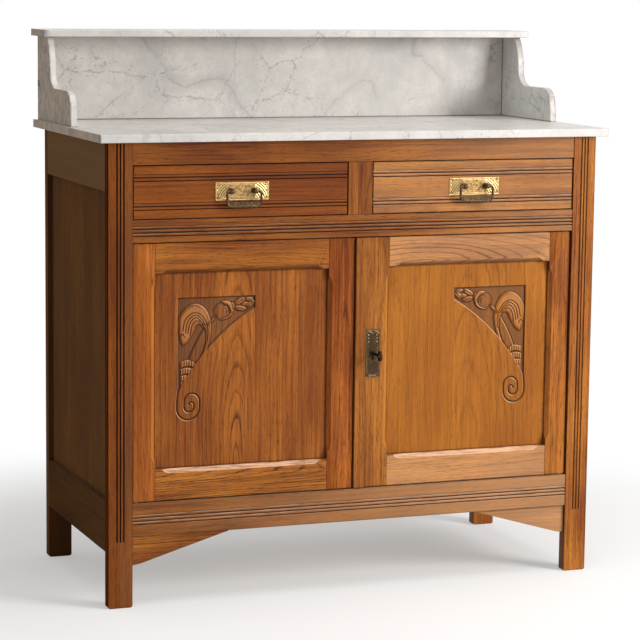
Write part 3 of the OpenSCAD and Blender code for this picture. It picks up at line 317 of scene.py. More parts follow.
def oak_grain(name):
    """Sawn wood: rings round a leaning heart, with pores, fibres and patches of tone. In the
    board's frame x runs across the face, y through it and z along the grain."""
    net, taken, give = new_group(
        name,
        [("Board", VECTOR), ("Seed", FLOAT), ("Across", FLOAT), ("Depth", FLOAT), ("Lean", FLOAT),
         ("Ring", FLOAT), ("Light", COLOUR), ("Deep", COLOUR), ("Line", COLOUR), ("Figure", FLOAT)],
        [("Color", COLOUR), ("Roughness", FLOAT), ("Height", FLOAT)])
    board, seed = net.vector("MULTIPLY", taken["Board"], PER_MM), taken["Seed"]
    shift = net.join(*(net.times(seed, step) for step in (137.0, 61.0, 389.0)))
    sample = net.vector("ADD", board, shift)

    sway = net.parts(net.vector("MULTIPLY", net.wander(sample, HEART_WAVES, 1.0), HEART_SWAY))
    x, y, z = net.parts(board)
    across = net.plus(net.minus(x, taken["Across"]), sway[0])
    depth = net.plus(net.plus(y, taken["Depth"]), net.line(z, taken["Lean"], sway[1]))
    radius = net.calc("SQRT", net.plus(net.times(across, across), net.times(depth, depth)))
    ripple = net.minus(net.grey(sample, RIPPLE_WAVES, 4.0, 0.7), 0.5)
    radius = net.line(ripple, RIPPLE_SWAY, radius)
    uneven = net.grey(net.join(net.times(radius, 0.05), seed, 0.0), 1.0, 1.0)
    growth = net.line(uneven, 2.2, net.calc("DIVIDE", radius, taken["Ring"]))
    phase = net.calc("FRACT", growth)
    year = net.node("ShaderNodeTexWhiteNoise", {"W": net.plus(net.calc("FLOOR", growth), seed)},
                    noise_dimensions="1D").outputs[0]
    early = net.larger(net.spread(phase, 0.0, 0.3, 1.0, 0.0), net.spread(phase, 0.94, 1.0))
    band = net.times(early, net.line(year, 0.75, 0.3))

    pores = net.spread(net.grey(sample, PORE_WAVES, 2.0), 0.53, 0.66)
    pores = net.times(pores, net.line(band, 0.5, 0.5))
    fibre = net.minus(net.grey(sample, FIBRE_WAVES, 3.0, 0.65), 0.5)
    streak = net.minus(net.grey(sample, STREAK_WAVES, 3.0, 0.7), 0.5)
    seam = net.apart(net.grey(sample, SEAM_WAVES, 4.0, 0.6), 0.5)
    seam = net.times(net.spread(seam, 0.0, 0.03, 1.0, 0.0), net.spread(fibre, -0.2, 0.15))
    patch = net.spread(net.grey(sample, PATCH_WAVES, 2.0), 0.3, 0.7, 0.15, 0.85)
    tone = net.plus(patch, net.plus(net.times(fibre, 1.2), net.times(streak, 1.4)), clamp=True)

    wood = net.mix(tone, taken["Light"], taken["Deep"])
    ragged = net.times(band, net.spread(streak, -0.25, 0.2, 0.55, 1.25))
    dark = net.larger(net.times(ragged, taken["Figure"]), net.times(seam, 0.45), clamp=True)
    wood = net.mix(dark, wood, taken["Line"])
    give(Color=net.mix(net.times(pores, 0.8), wood, taken["Line"]),
         Roughness=net.line(fibre, 0.25, net.line(pores, 0.16, 0.38)),
         Height=net.minus(net.times(fibre, 0.5), net.line(band, 0.3, pores)))
    return net.tree


def board_wear(name):
    """Age and painted light on a polished board: wax and painted shade round its edges and in its
    grooves, a painted highlight on faces turned to the right, painted shade on faces turned down,
    and dust with a painted highlight on faces turned up. Place, Low and High are in mm: the point,
    and the corners of what shows of the board. Face is its front, and wax and painted shade lie
    behind it, from Start on and darkest from Full."""
    net, taken, give = new_group(
        name,
        [("Color", COLOUR), ("Board", VECTOR), ("Place", VECTOR), ("Normal", VECTOR), ("Low", VECTOR),
         ("High", VECTOR), ("Reach", FLOAT), ("Grime", FLOAT), ("Dust", FLOAT), ("Face", FLOAT),
         ("Start", FLOAT), ("Full", FLOAT), ("Soot", FLOAT), ("Wax", COLOUR), ("Rubbed", COLOUR),
         ("Bloom", COLOUR)],
        [("Color", COLOUR)])
    place, board, reach, wax = taken["Place"], taken["Board"], taken["Reach"], taken["Wax"]
    gaps = net.parts(net.vector("MINIMUM", net.vector("SUBTRACT", place, taken["Low"]),
                                net.vector("SUBTRACT", taken["High"], place)))
    gap = net.smaller(gaps[0], net.smaller(gaps[1], gaps[2]))
    # Painted shade with wax: the board is darkened along its edges, where the parts meet.
    ragged = net.minus(gap, net.times(net.grey(board, 140.0, 2.0), reach))
    edge = net.spread(ragged, -0.4, net.times(reach, 0.5), 1.0, 0.0)
    tint = net.mix(net.times(edge, taken["Grime"]), taken["Color"], wax)

    right, _, up = net.parts(taken["Normal"])
    # Painted highlight: faces turned to the right are painted paler, as where the light falls.
    arris = net.times(net.spread(right, 0.3, 0.7), net.spread(right, 0.9, 0.97, 1.0, 0.0))
    tint = net.mix(net.times(arris, 0.26), tint, taken["Rubbed"])
    # Painted shade: faces turned down are darkened.
    tint = net.mix(net.spread(up, -0.3, -0.7, 0.0, 0.45), tint, wax)
    # Dust and painted highlight: faces turned up are painted paler, broken by scratches.
    ledge = net.times(net.spread(up, 0.3, 0.75), net.spread(up, 0.93, 0.99, 1.0, 0.4))
    scratches = net.spread(net.grey(board, (500.0, 500.0, 30.0), 4.0, 0.7), 0.34, 0.62, 0.15, 1.0)
    tint = net.mix(net.times(net.times(ledge, scratches), taken["Dust"]), tint, taken["Bloom"])

    # Wax and painted shade in the grooves behind the face, less on faces turned up, where light falls.
    behind = net.minus(net.parts(place)[1], taken["Face"])
    groove = net.times(net.spread(behind, taken["Start"], taken["Full"]),
                       net.spread(behind, 4.0, 5.0, 1.0, 0.0))
    groove = net.times(groove, net.spread(up, 0.1, 0.5, 1.0, 0.2))
    give(Color=net.mix(net.times(groove, taken["Soot"]), tint, wax))
    return net.tree


def carved_wood(name):
    """A carver's work on wood, with painted light: tooled, dusty ground darkened partly as painted
    shade, crests rubbed pale with a painted highlight, wax and painted shade in the cuts, painted
    shade on the walls that face down or left and a painted highlight on those that face up or
    right. Sunk, Crest and Cut say how much of each a point is."""
    net, taken, give = new_group(
        name,
        [("Color", COLOUR), ("Roughness", FLOAT), ("Normal", VECTOR), ("Sunk", FLOAT), ("Crest", FLOAT),
         ("Cut", FLOAT), ("Ground", COLOUR), ("Rubbed", COLOUR), ("Wax", COLOUR), ("Sheen", COLOUR)],
        [("Color", COLOUR), ("Roughness", FLOAT)])
    right, _, up = net.parts(taken["Normal"])
    lit = net.line(up, 0.6, net.times(right, 0.6))
    tint = taken["Color"]
    # Painted light: the sunk ground is darkened as dust and painted shade, crests get a painted highlight,
    # walls turned down or left get painted shade, cuts get wax and painted shade, and walls turned up or
    # right get a painted highlight.
    for mask, other in ((net.times(taken["Sunk"], 0.6), "Ground"),
                        (net.times(taken["Crest"], 0.38), "Rubbed"),
                        (net.spread(lit, -0.1, -0.5, 0.0, 0.6), "Wax"),
                        (net.times(taken["Cut"], 0.9), "Wax"),
                        (net.spread(lit, 0.16, 0.5, 0.0, 0.6), "Sheen")):
        tint = net.mix(mask, tint, taken[other])
    give(Color=tint, Roughness=net.minus(taken["Roughness"], net.times(taken["Crest"], 0.08)))
    return net.tree


# How fine the marble's figures are: waves for each metre, along x, y and z where they differ
CLOUD_WAVES, VEIN_WAVES, UPRIGHT_WAVES = (8.0, 8.0, 5.0), (2.6, 2.6, 1.7), (9.0, 9.0, 0.5)
STAIN_WAVES, GRIME_WAVES = (16.0, 16.0, 13.0), (75.0, 75.0, 55.0)
WARP_WAVES, MOTTLE_WAVES, GRAIN_WAVES, CRACK_WAVES = 6.0, 46.0, 300.0, 9.0
SPECK_WAVES, BLOT_WAVES, CHIP_WAVES = 230.0, 62.0, 90.0
# How far the figures are bent, in metres, and how far the chips reach in from a sawn end
WARP_SWAY, CHIP_REACH = (0.09, 0.09, 0.08), 5.0 * MM


def marble_stone(name):
    """Grey-white marble: clouds, mottling, a soft vein, a net of cracks and specks. Its outer ends
    stay rough and stained: Ends is half the slab's length, between its two sawn faces. Dirt lies
    in the joints at the heights Foot and Head and at the distance Side from the middle. Edge
    is how much faces turned to the front are painted paler, as painted light, and Inner is
    what a face turned to the left is multiplied by, to paint light on it."""
    net, taken, give = new_group(
        name,
        [("Place", VECTOR), ("Coords", VECTOR), ("Normal", VECTOR), ("Ends", FLOAT), ("Foot", FLOAT),
         ("Head", FLOAT), ("Side", FLOAT), ("Edge", FLOAT), ("White", COLOUR), ("Cloud", COLOUR),
         ("Vein", COLOUR), ("Sawn", COLOUR), ("Dirt", COLOUR), ("Inner", COLOUR)],
        [("Color", COLOUR), ("Roughness", FLOAT), ("Height", FLOAT)])
    place = taken["Place"]
    bent = net.vector("ADD", place, net.vector("MULTIPLY", net.wander(place, WARP_WAVES, 6.0, 0.65),
                                               WARP_SWAY))
    cloud = net.spread(net.grey(bent, CLOUD_WAVES, 5.0, 0.65), 0.3, 0.72)
    mottle = net.spread(net.grey(place, MOTTLE_WAVES, 4.0, 0.65), 0.3, 0.7)
    grain = net.grey(place, GRAIN_WAVES, 2.0, 0.6)

    ridge = net.apart(net.grey(bent, VEIN_WAVES, 2.0, 0.5), 0.5)
    veins = net.line(net.spread(ridge, 0.0, 0.03, 1.0, 0.0), 0.45, net.spread(ridge, 0.0, 0.005, 0.55, 0.0))
    veins = net.times(veins, net.spread(net.grey(place, 5.0, 2.0), 0.42, 0.58))
    ridge = net.apart(net.grey(bent, UPRIGHT_WAVES, 2.0, 0.5), 0.5)
    upright = net.times(net.spread(ridge, 0.0, 0.012, 1.0, 0.0),
                        net.spread(net.grey(place, (4.0, 4.0, 3.0), 2.0), 0.5, 0.6))
    x, y, z = net.parts(bent)
    leaning = net.join(net.line(z, -0.6, x), y, net.line(x, 0.2, z))
    cracks = net.node("ShaderNodeTexVoronoi", {"Vector": leaning, "Scale": CRACK_WAVES},
                      feature="DISTANCE_TO_EDGE").outputs["Distance"]
    patches = net.spread(net.grey(place, 6.5, 3.0, 0.6), 0.45, 0.58)
    broken = net.spread(net.grey(place, 70.0, 2.0, 0.6), 0.36, 0.6)
    threads = net.times(net.times(net.spread(cracks, 0.0, 0.024, 1.0, 0.0), broken), patches)
    crowd = net.line(net.spread(cracks, 0.0, 0.2, 1.0, 0.0), net.times(patches, 0.7), 0.4)
    specks = net.times(net.spread(net.grey(place, SPECK_WAVES, 2.0, 0.7), 0.6, 0.68), crowd)
    blots = net.spread(net.grey(place, BLOT_WAVES, 3.0, 0.6), 0.63, 0.74)

    stone = taken["White"]
    for mask, strength in ((cloud, 0.6), (mottle, 0.42), (grain, 0.2)):
        stone = net.mix(net.times(mask, strength), stone, taken["Cloud"])
    dark = net.times(veins, 0.42)
    for mask, strength in ((threads, 0.6), (upright, 0.35), (specks, 0.6), (blots, 0.25)):
        dark = net.larger(dark, net.times(mask, strength), clamp=True)
    stone = net.mix(dark, stone, taken["Vein"])

    x, _, z = net.parts(taken["Coords"])
    x = net.calc("ABSOLUTE", x)
    for part, level in ((z, "Foot"), (z, "Head"), (x, "Side")):
        gap = net.apart(part, taken[level])
        stone = net.mix(net.spread(gap, 0.9 * MM, 2.6 * MM, 0.85, 0.0), stone, taken["Dirt"])
    chipped = net.line(net.grey(place, CHIP_WAVES, 3.0, 0.6), CHIP_REACH, x)
    sawn = net.spread(net.minus(chipped, taken["Ends"]), 0.2 * MM, 1.4 * MM)
    stain = net.spread(net.grey(place, STAIN_WAVES, 5.0, 0.7), 0.3, 0.72)
    grime = net.spread(net.grey(place, GRIME_WAVES, 5.0, 0.75), 0.42, 0.66)
    rough = taken["Sawn"]
    for mask, other in ((stain, "Vein"), (mottle, "Cloud"), (grime, "Dirt")):
        rough = net.mix(net.times(mask, 0.5), rough, taken[other])
    stone = net.mix(net.times(sawn, 0.92), stone, rough)

    # Painted light: faces turned to the front are painted paler, and faces turned to the left are multiplied
    # by Inner.
    right, front, _ = net.parts(taken["Normal"])
    stone = net.mix(net.times(net.spread(front, -0.5, -0.9), taken["Edge"]), stone, (1, 1, 1))
    stone = net.mix(net.spread(right, -0.5, -0.9), stone, taken["Inner"], "MULTIPLY")
    give(Color=stone, Roughness=net.line(sawn, 0.4, net.spread(mottle, 0.0, 1.0, 0.3, 0.44)),
         Height=net.line(net.times(mottle, sawn), 2.0, net.times(grain, 0.3)))
    return net.tree


def aged_metal(name):
    """Aged metal: bright where it is raised and rubbed, dark in the hollows, with spots."""
    net, taken, give = new_group(
        name,
        [("Place", VECTOR), ("Raised", FLOAT), ("Bright", COLOUR), ("Dark", COLOUR), ("Age", FLOAT)],
        [("Color", COLOUR), ("Roughness", FLOAT), ("Height", FLOAT)])
    mottle = net.grey(taken["Place"], 260.0, 3.0, 0.6)
    spots = net.spread(net.grey(taken["Place"], 900.0, 2.0, 0.7), 0.58, 0.72)
    rubbed = net.line(spots, -0.35, net.plus(taken["Raised"], net.minus(mottle, 0.5)))
    bright = net.minus(net.spread(rubbed, 0.05, 0.75), taken["Age"], clamp=True)
    give(Color=net.mix(bright, taken["Dark"], taken["Bright"]),
         Roughness=net.spread(bright, 0.0, 1.0, 0.62, 0.30),
         Height=net.line(spots, -0.4, mottle))
    return net.tree


def finish_shader(name, metallic=0.0, specular=0.35, bump=0.2 * MM, strength=0.5):
    """A material with a Principled shader; gives its net and a call that feeds the shader. bump is
    the height of its roughness in metres, and strength how much of that shows."""
    material = bpy.data.materials.new(name)
    material.use_nodes = True
    net = Net(material.node_tree)
    shader = material.node_tree.nodes["Principled BSDF"]
    shader.inputs["Metallic"].default_value = metallic
    shader.inputs["Specular IOR Level"].default_value = specular

    def give(color, roughness, height):
        net.feed(shader.inputs["Base Color"], color)
        net.feed(shader.inputs["Roughness"], roughness)
        made = net.node("ShaderNodeBump", {"Height": height, "Distance": bump, "Strength": strength})
        net.feed(shader.inputs["Normal"], made.outputs[0])
    return material, net, give


# ---- Wood ----

# How a board lies: the axes that run across its face, through it and along its grain
LIES = {
    "upright": ("x", "y", "z"),
    "level": ("z", "y", "x"),
    "side_upright": ("y", "x", "z"),
    "side_level": ("z", "x", "y"),
    "flat": ("y", "z", "x"),
    "flat_deep": ("x", "z", "y"),
}


def board_frame(net, lie, centre):
    """Object coordinates turned into a board's frame, about the board's middle."""
    axes = {"x": Vector((1, 0, 0)), "y": Vector((0, 1, 0)), "z": Vector((0, 0, 1))}
    rows = [axes[a] for a in LIES[lie]]
    if rows[0].cross(rows[1]).dot(rows[2]) < 0:
        rows[0] = -rows[0]
    turn = Matrix(rows)
    return net.node("ShaderNodeMapping", {"Vector": net.coords(), "Location": -(turn @ Vector(centre)),
                                          "Rotation": turn.to_euler("XYZ")}).outputs[0]


def shade(tint, amount):
    """A colour made lighter or darker."""
    return tuple(min(1.0, part * amount) for part in tint)


def faded(tint, pale, amount):
    """A colour on its way to a paler one."""
    return tuple(a + (b - a) * amount for a, b in zip(tint, pale))


def warm(tint, amount, gold=0.0):
    """A colour made redder, for amounts over 0, and with less blue in it by gold."""
    return (tint[0], tint[1] * (1 - amount), tint[2] * (1 - 1.4 * amount - gold))


# In mm: half the width of a glued joint, how far wax and painted shade reach in from the edges of
# a board and of a panel's field, and a distance past every board
GLUE, BOARD_REACH, FIELD_REACH, OPEN = 0.3, 1.5, 3.6, 1e4
# From the seed of a board's tree to that of the tree beyond a glued joint
NEXT_TREE = 7.3
# The colour that dust bloom and painted highlights on ledges turn faded wood towards
BLOOM_AND_HIGHLIGHT = (1.0, 0.66, 0.5)


def oak(name, node, lie, seed, across=0.0, depth=70.0, lean=0.05, tone=1.0, red=0.0, figure=0.75,
        bare=False, ring=1.0, carved=False, split=None, pale=0.0, recess=None, gloss=0.12,
        field=None, grime=0.6, dust_and_highlight=0.3, calm=0.0, painted_sheen=None, groove_wax_and_shade=0.94, gold=0.0):
    """Oak for one board.

    Figure: the tree's heart lies across and depth mm off the board's middle and leans, figure is
    how strongly its rings show and ring how wide they are. split is a glued joint: its place in mm,
    then across, depth, lean, ring and figure of the wood beyond it.
    Colour: tone is lightness, red and gold warm it, pale fades it towards the sheen colour and calm
    evens it out; on the boards of the left side a low tone with much pale is painted shade, and on
    some others pale is painted sheen. painted_sheen is an axis, the two places in mm between which
    the wood is painted paler, as painted sheen, and how pale it gets.
    Wear and painted light: grime is the wax and painted shade along the edges, of the board or of a
    panel's field, which is given by its lowest and highest corners in mm, and dust_and_highlight
    the dust and painted highlight on ledges. recess is how far behind the front wax and painted
    shade start and where they are darkest, and groove_wax_and_shade how dark it is there."""
    made = settings().oak
    low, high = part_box(node)
    material, net, give = finish_shader(name, specular=0.15 if bare else gloss, bump=0.25 * MM)
    board, normal = board_frame(net, lie, (low + high) / 2), net.normal()
    light, deep, line = made.light, made.deep, made.line
    if bare:
        light, deep, line = made.bare_light, shade(made.bare_light, 0.8), made.bare_line
    # pale fades the tints towards the sheen colour: with a low tone it is painted shade on the left side,
    # and on some boards to the right painted sheen.
    tints = {"Light": faded(light, made.sheen, pale),
             "Deep": faded(faded(deep, light, calm), made.sheen, pale),
             "Line": faded(faded(line, light, 0.6 * calm), made.sheen, 0.6 * pale)}
    tints = {key: warm(shade(tint, tone), red, gold) for key, tint in tints.items()}

    def grain(seed, across, depth, lean, ring, figure):
        """The wood of one tree."""
        return net.group(oak_grain, Board=board, Seed=float(seed), Across=across, Depth=depth,
                         Lean=lean, Ring=made.ring / MM * ring, Figure=figure, **tints)

    wood = grain(seed, across, depth, lean, ring, figure)
    tint, rough, height = wood["Color"], wood["Roughness"], wood["Height"]
    if split:
        other = grain(seed + NEXT_TREE, *split[1:])
        beyond = net.spread(net.parts(board)[0], (split[0] - GLUE) * MM, (split[0] + GLUE) * MM, soft=False)
        tint = net.mix(beyond, tint, other["Color"])
        rough = net.plus(net.times(rough, net.minus(1.0, beyond)), net.times(other["Roughness"], beyond))
    if carved:
        shades = settings().carving
        work = net.group(carved_wood, Color=tint, Roughness=rough, Normal=normal,
                         Sunk=net.attribute("sunk"), Crest=net.attribute("crest"),
                         Cut=net.attribute("cut"), Ground=shades.stain, Rubbed=shades.crest,
                         Wax=made.wax, Sheen=made.sheen)
        tint, rough = work["Color"], work["Roughness"]
    place = net.vector("MULTIPLY", net.coords(), PER_MM)
    # Painted sheen: the wood is painted paler from one place to another along an axis, where the light
    # falls.
    if painted_sheen:
        axis, start, end, most = painted_sheen
        along = net.parts(place)["xyz".index(axis)]
        tint = net.mix(net.spread(along, start, end, 0.0, most), tint, made.sheen)
    if not bare:
        corners = [list(corner) for corner in field or (low / MM, high / MM)]
        through = "xyz".index(LIES[lie][1])
        corners[0][through], corners[1][through] = -OPEN, OPEN
        start, full = recess or (0.0, 1.0)
        tint = net.group(board_wear, Color=tint, Board=board, Place=place,
                         Normal=normal, Low=corners[0], High=corners[1],
                         Reach=FIELD_REACH if field else BOARD_REACH, Grime=grime, Dust=dust_and_highlight,
                         Face=low.y / MM, Start=start, Full=full, Soot=groove_wax_and_shade if recess else 0.0,
                         Wax=made.wax, Rubbed=shade(light, 1.5),
                         Bloom=faded(made.sheen, BLOOM_AND_HIGHLIGHT, 0.4))["Color"]
    give(tint, rough, height)
    return material


def coat(piece, material):
    """Gives a piece one material."""
    piece.data.materials.clear()
    piece.data.materials.append(material)
    for face in piece.data.polygons:
        face.material_index = 0


def into_object(mesh, name, smooth=None):
    """An object in the scene from a bmesh, which it frees. smooth is the angle in degrees up to
    which edges blend."""
    data = bpy.data.meshes.new(name)
    mesh.to_mesh(data)
    mesh.free()
    piece = bpy.data.objects.new(name, data)
    bpy.context.scene.collection.objects.link(piece)
    if smooth is not None:
        data.shade_smooth()
        data.set_sharp_from_angle(angle=math.radians(smooth))
    return piece


def softened(node, name, width):
    """A copy of a board whose long outer edges are rounded, in the board's place."""
    weld, flat, sharp, least = 0.01 * MM, math.radians(0.6), math.radians(50), 12 * MM
    mesh = bmesh.new()
    mesh.from_mesh(frame["nodes"][node].data)
    bmesh.ops.remove_doubles(mesh, verts=mesh.verts, dist=weld)
    bmesh.ops.dissolve_limit(mesh, angle_limit=flat, verts=mesh.verts, edges=mesh.edges)
    edges = [e for e in mesh.edges if len(e.link_faces) == 2 and e.calc_length() > least
             and e.calc_face_angle_signed() > sharp]
    bmesh.ops.bevel(mesh, geom=edges, offset=width, offset_type="OFFSET", segments=2, profile=0.5,
                    affect="EDGES", clamp_overlap=True, material=-1)
    bmesh.ops.recalc_face_normals(mesh, faces=mesh.faces)
    piece = into_object(mesh, name, smooth=20)
    body = frame["nodes"][node]["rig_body"]
    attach(piece, body)
    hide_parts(node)
    return piece


# How each outer board lies, and its options for oak. The boards on the left are painted dark and
# greyed with a low tone and much pale: painted shade. painted_sheen paints the front rails and the
# brackets paler towards the right, and the left side rails paler at the top: painted sheen.
FRONT_BOARDS = {
    "front_left_post": ("upright", dict(across=60, depth=90, lean=0.02, tone=0.51, red=0.28,
                                        pale=0.16, figure=0.25, gloss=0.0, recess=(0.1, 1.2),
                                        painted_sheen=("x", -466, -455, 0.05))),
    "front_right_post": ("upright", dict(across=-70, depth=80, lean=0.02, tone=1.08, figure=0.3,
                                         recess=(0.1, 1.2), groove_wax_and_shade=0.72)),
    "rear_left_post": ("side_upright", dict(across=50, depth=90, lean=0.02, tone=0.36, pale=0.35, red=0.06,
                                            figure=0.3, gloss=0.0)),
    "rear_right_post": ("upright", dict(across=40, depth=90, lean=0.02, tone=1.15, figure=0.3)),
    "top_rail": ("level", dict(across=-35, depth=60, lean=0.03, tone=0.78, red=0.08, figure=0.3,
                               painted_sheen=("x", -120, 400, 0.2))),
    "drawer_stile": ("upright", dict(across=30, depth=70, lean=0.03, tone=0.9, red=0.05, figure=0.4)),
    "frieze_rail": ("level", dict(across=-22, depth=42, lean=0.025, tone=0.85, red=0.05, figure=0.25,
                                  recess=(0.0, 0.5), dust_and_highlight=0.45, painted_sheen=("x", 0, 450, 0.2))),
    "base_rail": ("level", dict(across=25, depth=60, lean=0.02, tone=0.7, red=0.1,
                                figure=0.25, recess=(0.0, 0.5), dust_and_highlight=0.9,
                                painted_sheen=("x", -620, 450, 0.36))),
    "corner_brackets": ("level", dict(across=30, depth=40, lean=0.06, tone=1.04, figure=0.9,
                                      painted_sheen=("x", 0, 400, 0.4))),
    "left_hinge_stile": ("upright", dict(across=-40, depth=80, lean=0.03, tone=1.12, red=0.15,
                                         gold=0.1, calm=0.15, figure=0.4)),
    "left_meeting_stile": ("upright", dict(across=6, depth=30, lean=0.05, tone=1.01, red=0.19,
                                           figure=0.7)),
    "left_door_top_rail": ("level", dict(across=35, depth=60, lean=0.05, tone=1.0, red=0.03,
                                         figure=0.55, ring=0.8)),
    "left_door_bottom_rail": ("level", dict(across=-12, depth=30, lean=0.06, tone=1.08, figure=1.6,
                                            ring=0.85, dust_and_highlight=0.95)),
    "right_hinge_stile": ("upright", dict(across=35, depth=70, lean=0.03, tone=1.15, red=0.03,
                                          figure=0.45)),
    "right_meeting_stile": ("upright", dict(across=45, depth=60, lean=0.04, tone=1.0, figure=0.45)),
    "right_door_top_rail": ("level", dict(across=30, depth=34, lean=0.2, tone=1.22, pale=0.28,
                                          figure=1.3, ring=1.8)),
    "right_door_bottom_rail": ("level", dict(across=-40, depth=80, lean=0.02, tone=1.1, figure=0.4,
                                             pale=0.34, dust_and_highlight=0.95)),
    "meeting_strip": ("upright", dict(across=60, depth=60, lean=0.02, tone=0.92, figure=0.3)),
    "left_drawer_front": ("level", dict(across=-45, depth=70, lean=0.02, tone=0.67, red=0.22,
                                        figure=0.2, calm=0.2, recess=(0.0, 0.6), dust_and_highlight=0.1)),
    "right_drawer_front": ("level", dict(across=40, depth=50, lean=0.03, tone=1.0, pale=0.18,
                                         figure=0.35, recess=(0.0, 0.6), dust_and_highlight=1.0)),
    "left_side_rails": ("side_level", dict(across=20, depth=70, lean=0.03, tone=0.22, pale=0.35, red=0.03,
                                           figure=0.3, gloss=0.0, painted_sheen=("z", 150, 900, 0.19))),
    "right_side_rails": ("side_level", dict(across=20, depth=70, lean=0.03, tone=0.9, figure=0.35)),
    "left_side_panel": ("side_upright", dict(across=10, depth=55, lean=0.04, tone=0.34, pale=0.36, red=0.06,
                                             figure=0.4, gloss=0.0)),
    "right_side_panel": ("side_upright", dict(across=-10, depth=55, lean=0.04, tone=0.88, figure=0.5)),
}

# How each inner board lies, and the options that they share
BARE_BOARDS = {
    "back_rails": "level", "back_boards": "upright", "cupboard_bottom": "flat",
    "shelf_bearers": "flat_deep", "inner_shelf": "flat", "drawer_runners": "flat_deep",
    "drawer_kickers": "flat_deep", "door_stop": "level", "left_drawer_box": "side_level",
    "right_drawer_box": "side_level", "left_drawer_bottom": "flat", "right_drawer_bottom": "flat",
}
BARE = dict(bare=True, across=20, depth=60, lean=0.03, figure=0.6)

# The boards whose edges are rounded
SOFTENED = {
    "top_rail", "drawer_stile", "frieze_rail", "base_rail", "corner_brackets", "left_hinge_stile",
    "left_meeting_stile", "left_door_top_rail", "left_door_bottom_rail", "right_hinge_stile",
    "right_meeting_stile", "right_door_top_rail", "right_door_bottom_rail", "left_drawer_front",
    "right_drawer_front", "left_side_rails", "right_side_rails", "inner_shelf",
}


class WASHSTAND_OT_boards(bpy.types.Operator):
    """Dress the boards of the carcase, the doors and the drawers"""
    bl_idname = "washstand.boards"
    bl_label = "Boards"

    def execute(self, context):
        width = settings().oak.arris
        jobs = [(node, lie, facts) for node, (lie, facts) in FRONT_BOARDS.items()]
        jobs += [(node, lie, BARE) for node, lie in BARE_BOARDS.items()]
        for place, (node, lie, facts) in enumerate(jobs):
            piece = frame["nodes"][node]
            if node in SOFTENED:
                piece = softened(node, node + "_board", width)
            coat(piece, oak(node + "_oak", node, lie, 3.1 * place + 1, **facts))
        return {"FINISHED"}


# ---- Carved door panels ----

# The carving's frame has s from the hinge side of the sunk ground towards the middle of the
# front, and t down from its top edge, both in mm. The left and the right carving mirror.
GROUND_W, GROUND_LIP, GROUND_H, GROUND_D = 148.5, 22.0, 174.5, 2.6
GROUND_SIDE, GROUND_TOP = 44.5, 46.0
GROUND_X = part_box("right_hinge_stile")[0].x / MM - GROUND_SIDE
GROUND_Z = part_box("right_door_top_rail")[0].z / MM - GROUND_TOP
# The arch under both grounds, by the ends of its stretch in the right one
ARCH_ENDS = ((GROUND_X - GROUND_W, GROUND_Z - GROUND_LIP), (GROUND_X, GROUND_Z - GROUND_H))
VOLUTE_R, VOLUTE_DROP = 21.7, 28.0
VOLUTE_STEPS = (7.0, 5.4, 4.6)
VOLUTE_HEIGHTS = (12.0, 2.0, 6.0)
VOLUTE_LINE = 1.1
# The volute's groove: how deep it is, half its width, and half the width of its wax and painted shade
GROOVE_D, GROOVE_HALF, VOLUTE_WAX_AND_SHADE_HALF = 1.6, 2.2, 1.75
# How far the tooling roughens the sunk ground, in mm
TOOLING = 0.28


def smooth(value, low, high):
    """0 below low, 1 above high, and a soft step between."""
    part = np.clip((value - low) / (high - low), 0, 1)
    return part * part * (3 - 2 * part)


def curve(points, steps=6, closed=False):
    """A smooth line through points, ends included, or a smooth ring through them."""
    p = np.array(points, float)
    if closed:
        p = np.vstack([p[-1], p, p[:2]])
    else:
        p = np.vstack([2 * p[0] - p[1], p, 2 * p[-1] - p[-2]])
    out = []
    for a, b, c, d in zip(p, p[1:], p[2:], p[3:]):
        for i in range(steps):
            k = i / steps
            out.append(0.5 * (2 * b + (c - a) * k + (2 * a - 5 * b + 4 * c - d) * k * k
                              + (3 * b - a - 3 * c + d) * k ** 3))
    return np.array(out + [p[-2]])


def near(s, t, line):
    """Distance to a line."""
    best = np.full(s.shape, 1e9)
    for a, b in zip(line, line[1:]):
        d = b - a
        k = np.clip(((s - a[0]) * d[0] + (t - a[1]) * d[1]) / max(d @ d, 1e-9), 0, 1)
        best = np.minimum(best, np.hypot(s - a[0] - k * d[0], t - a[1] - k * d[1]))
    return best


def within(s, t, ring):
    """Distance to a closed line, over 0 inside it."""
    odd = np.zeros(s.shape, bool)
    for a, b in zip(ring, ring[1:]):
        if a[1] != b[1]:
            crossing = a[0] + (t - a[1]) * (b[0] - a[0]) / (b[1] - a[1])
            odd ^= ((a[1] > t) != (b[1] > t)) & (s < crossing)
    gap = near(s, t, ring)
    return np.where(odd, gap, -gap)


def volute_path():
    """The incised line under the ground's tip: half turns that close in by the source's steps."""
    radii = VOLUTE_R - np.cumsum((0.0,) + VOLUTE_STEPS)
    mids = [VOLUTE_R - VOLUTE_LINE]
    for i, step in enumerate(VOLUTE_STEPS):
        mids.append(mids[-1] + (step if i % 2 == 0 else -step))
    low = GROUND_H + VOLUTE_DROP
    heights = [low] + [low - h for h in VOLUTE_HEIGHTS]
    line = [(mids[0] - radii[0] + 3, GROUND_H - 9), (mids[0] - radii[0], low - 12)]
    for i, (s, r, t) in enumerate(zip(mids, radii, heights)):
        sweep = np.radians(np.linspace(180, 0, 14) if i % 2 == 0 else np.linspace(0, -180, 14))
        line += [(s + r * math.cos(a), t + r * math.sin(a)) for a in sweep]
    return np.array(line)


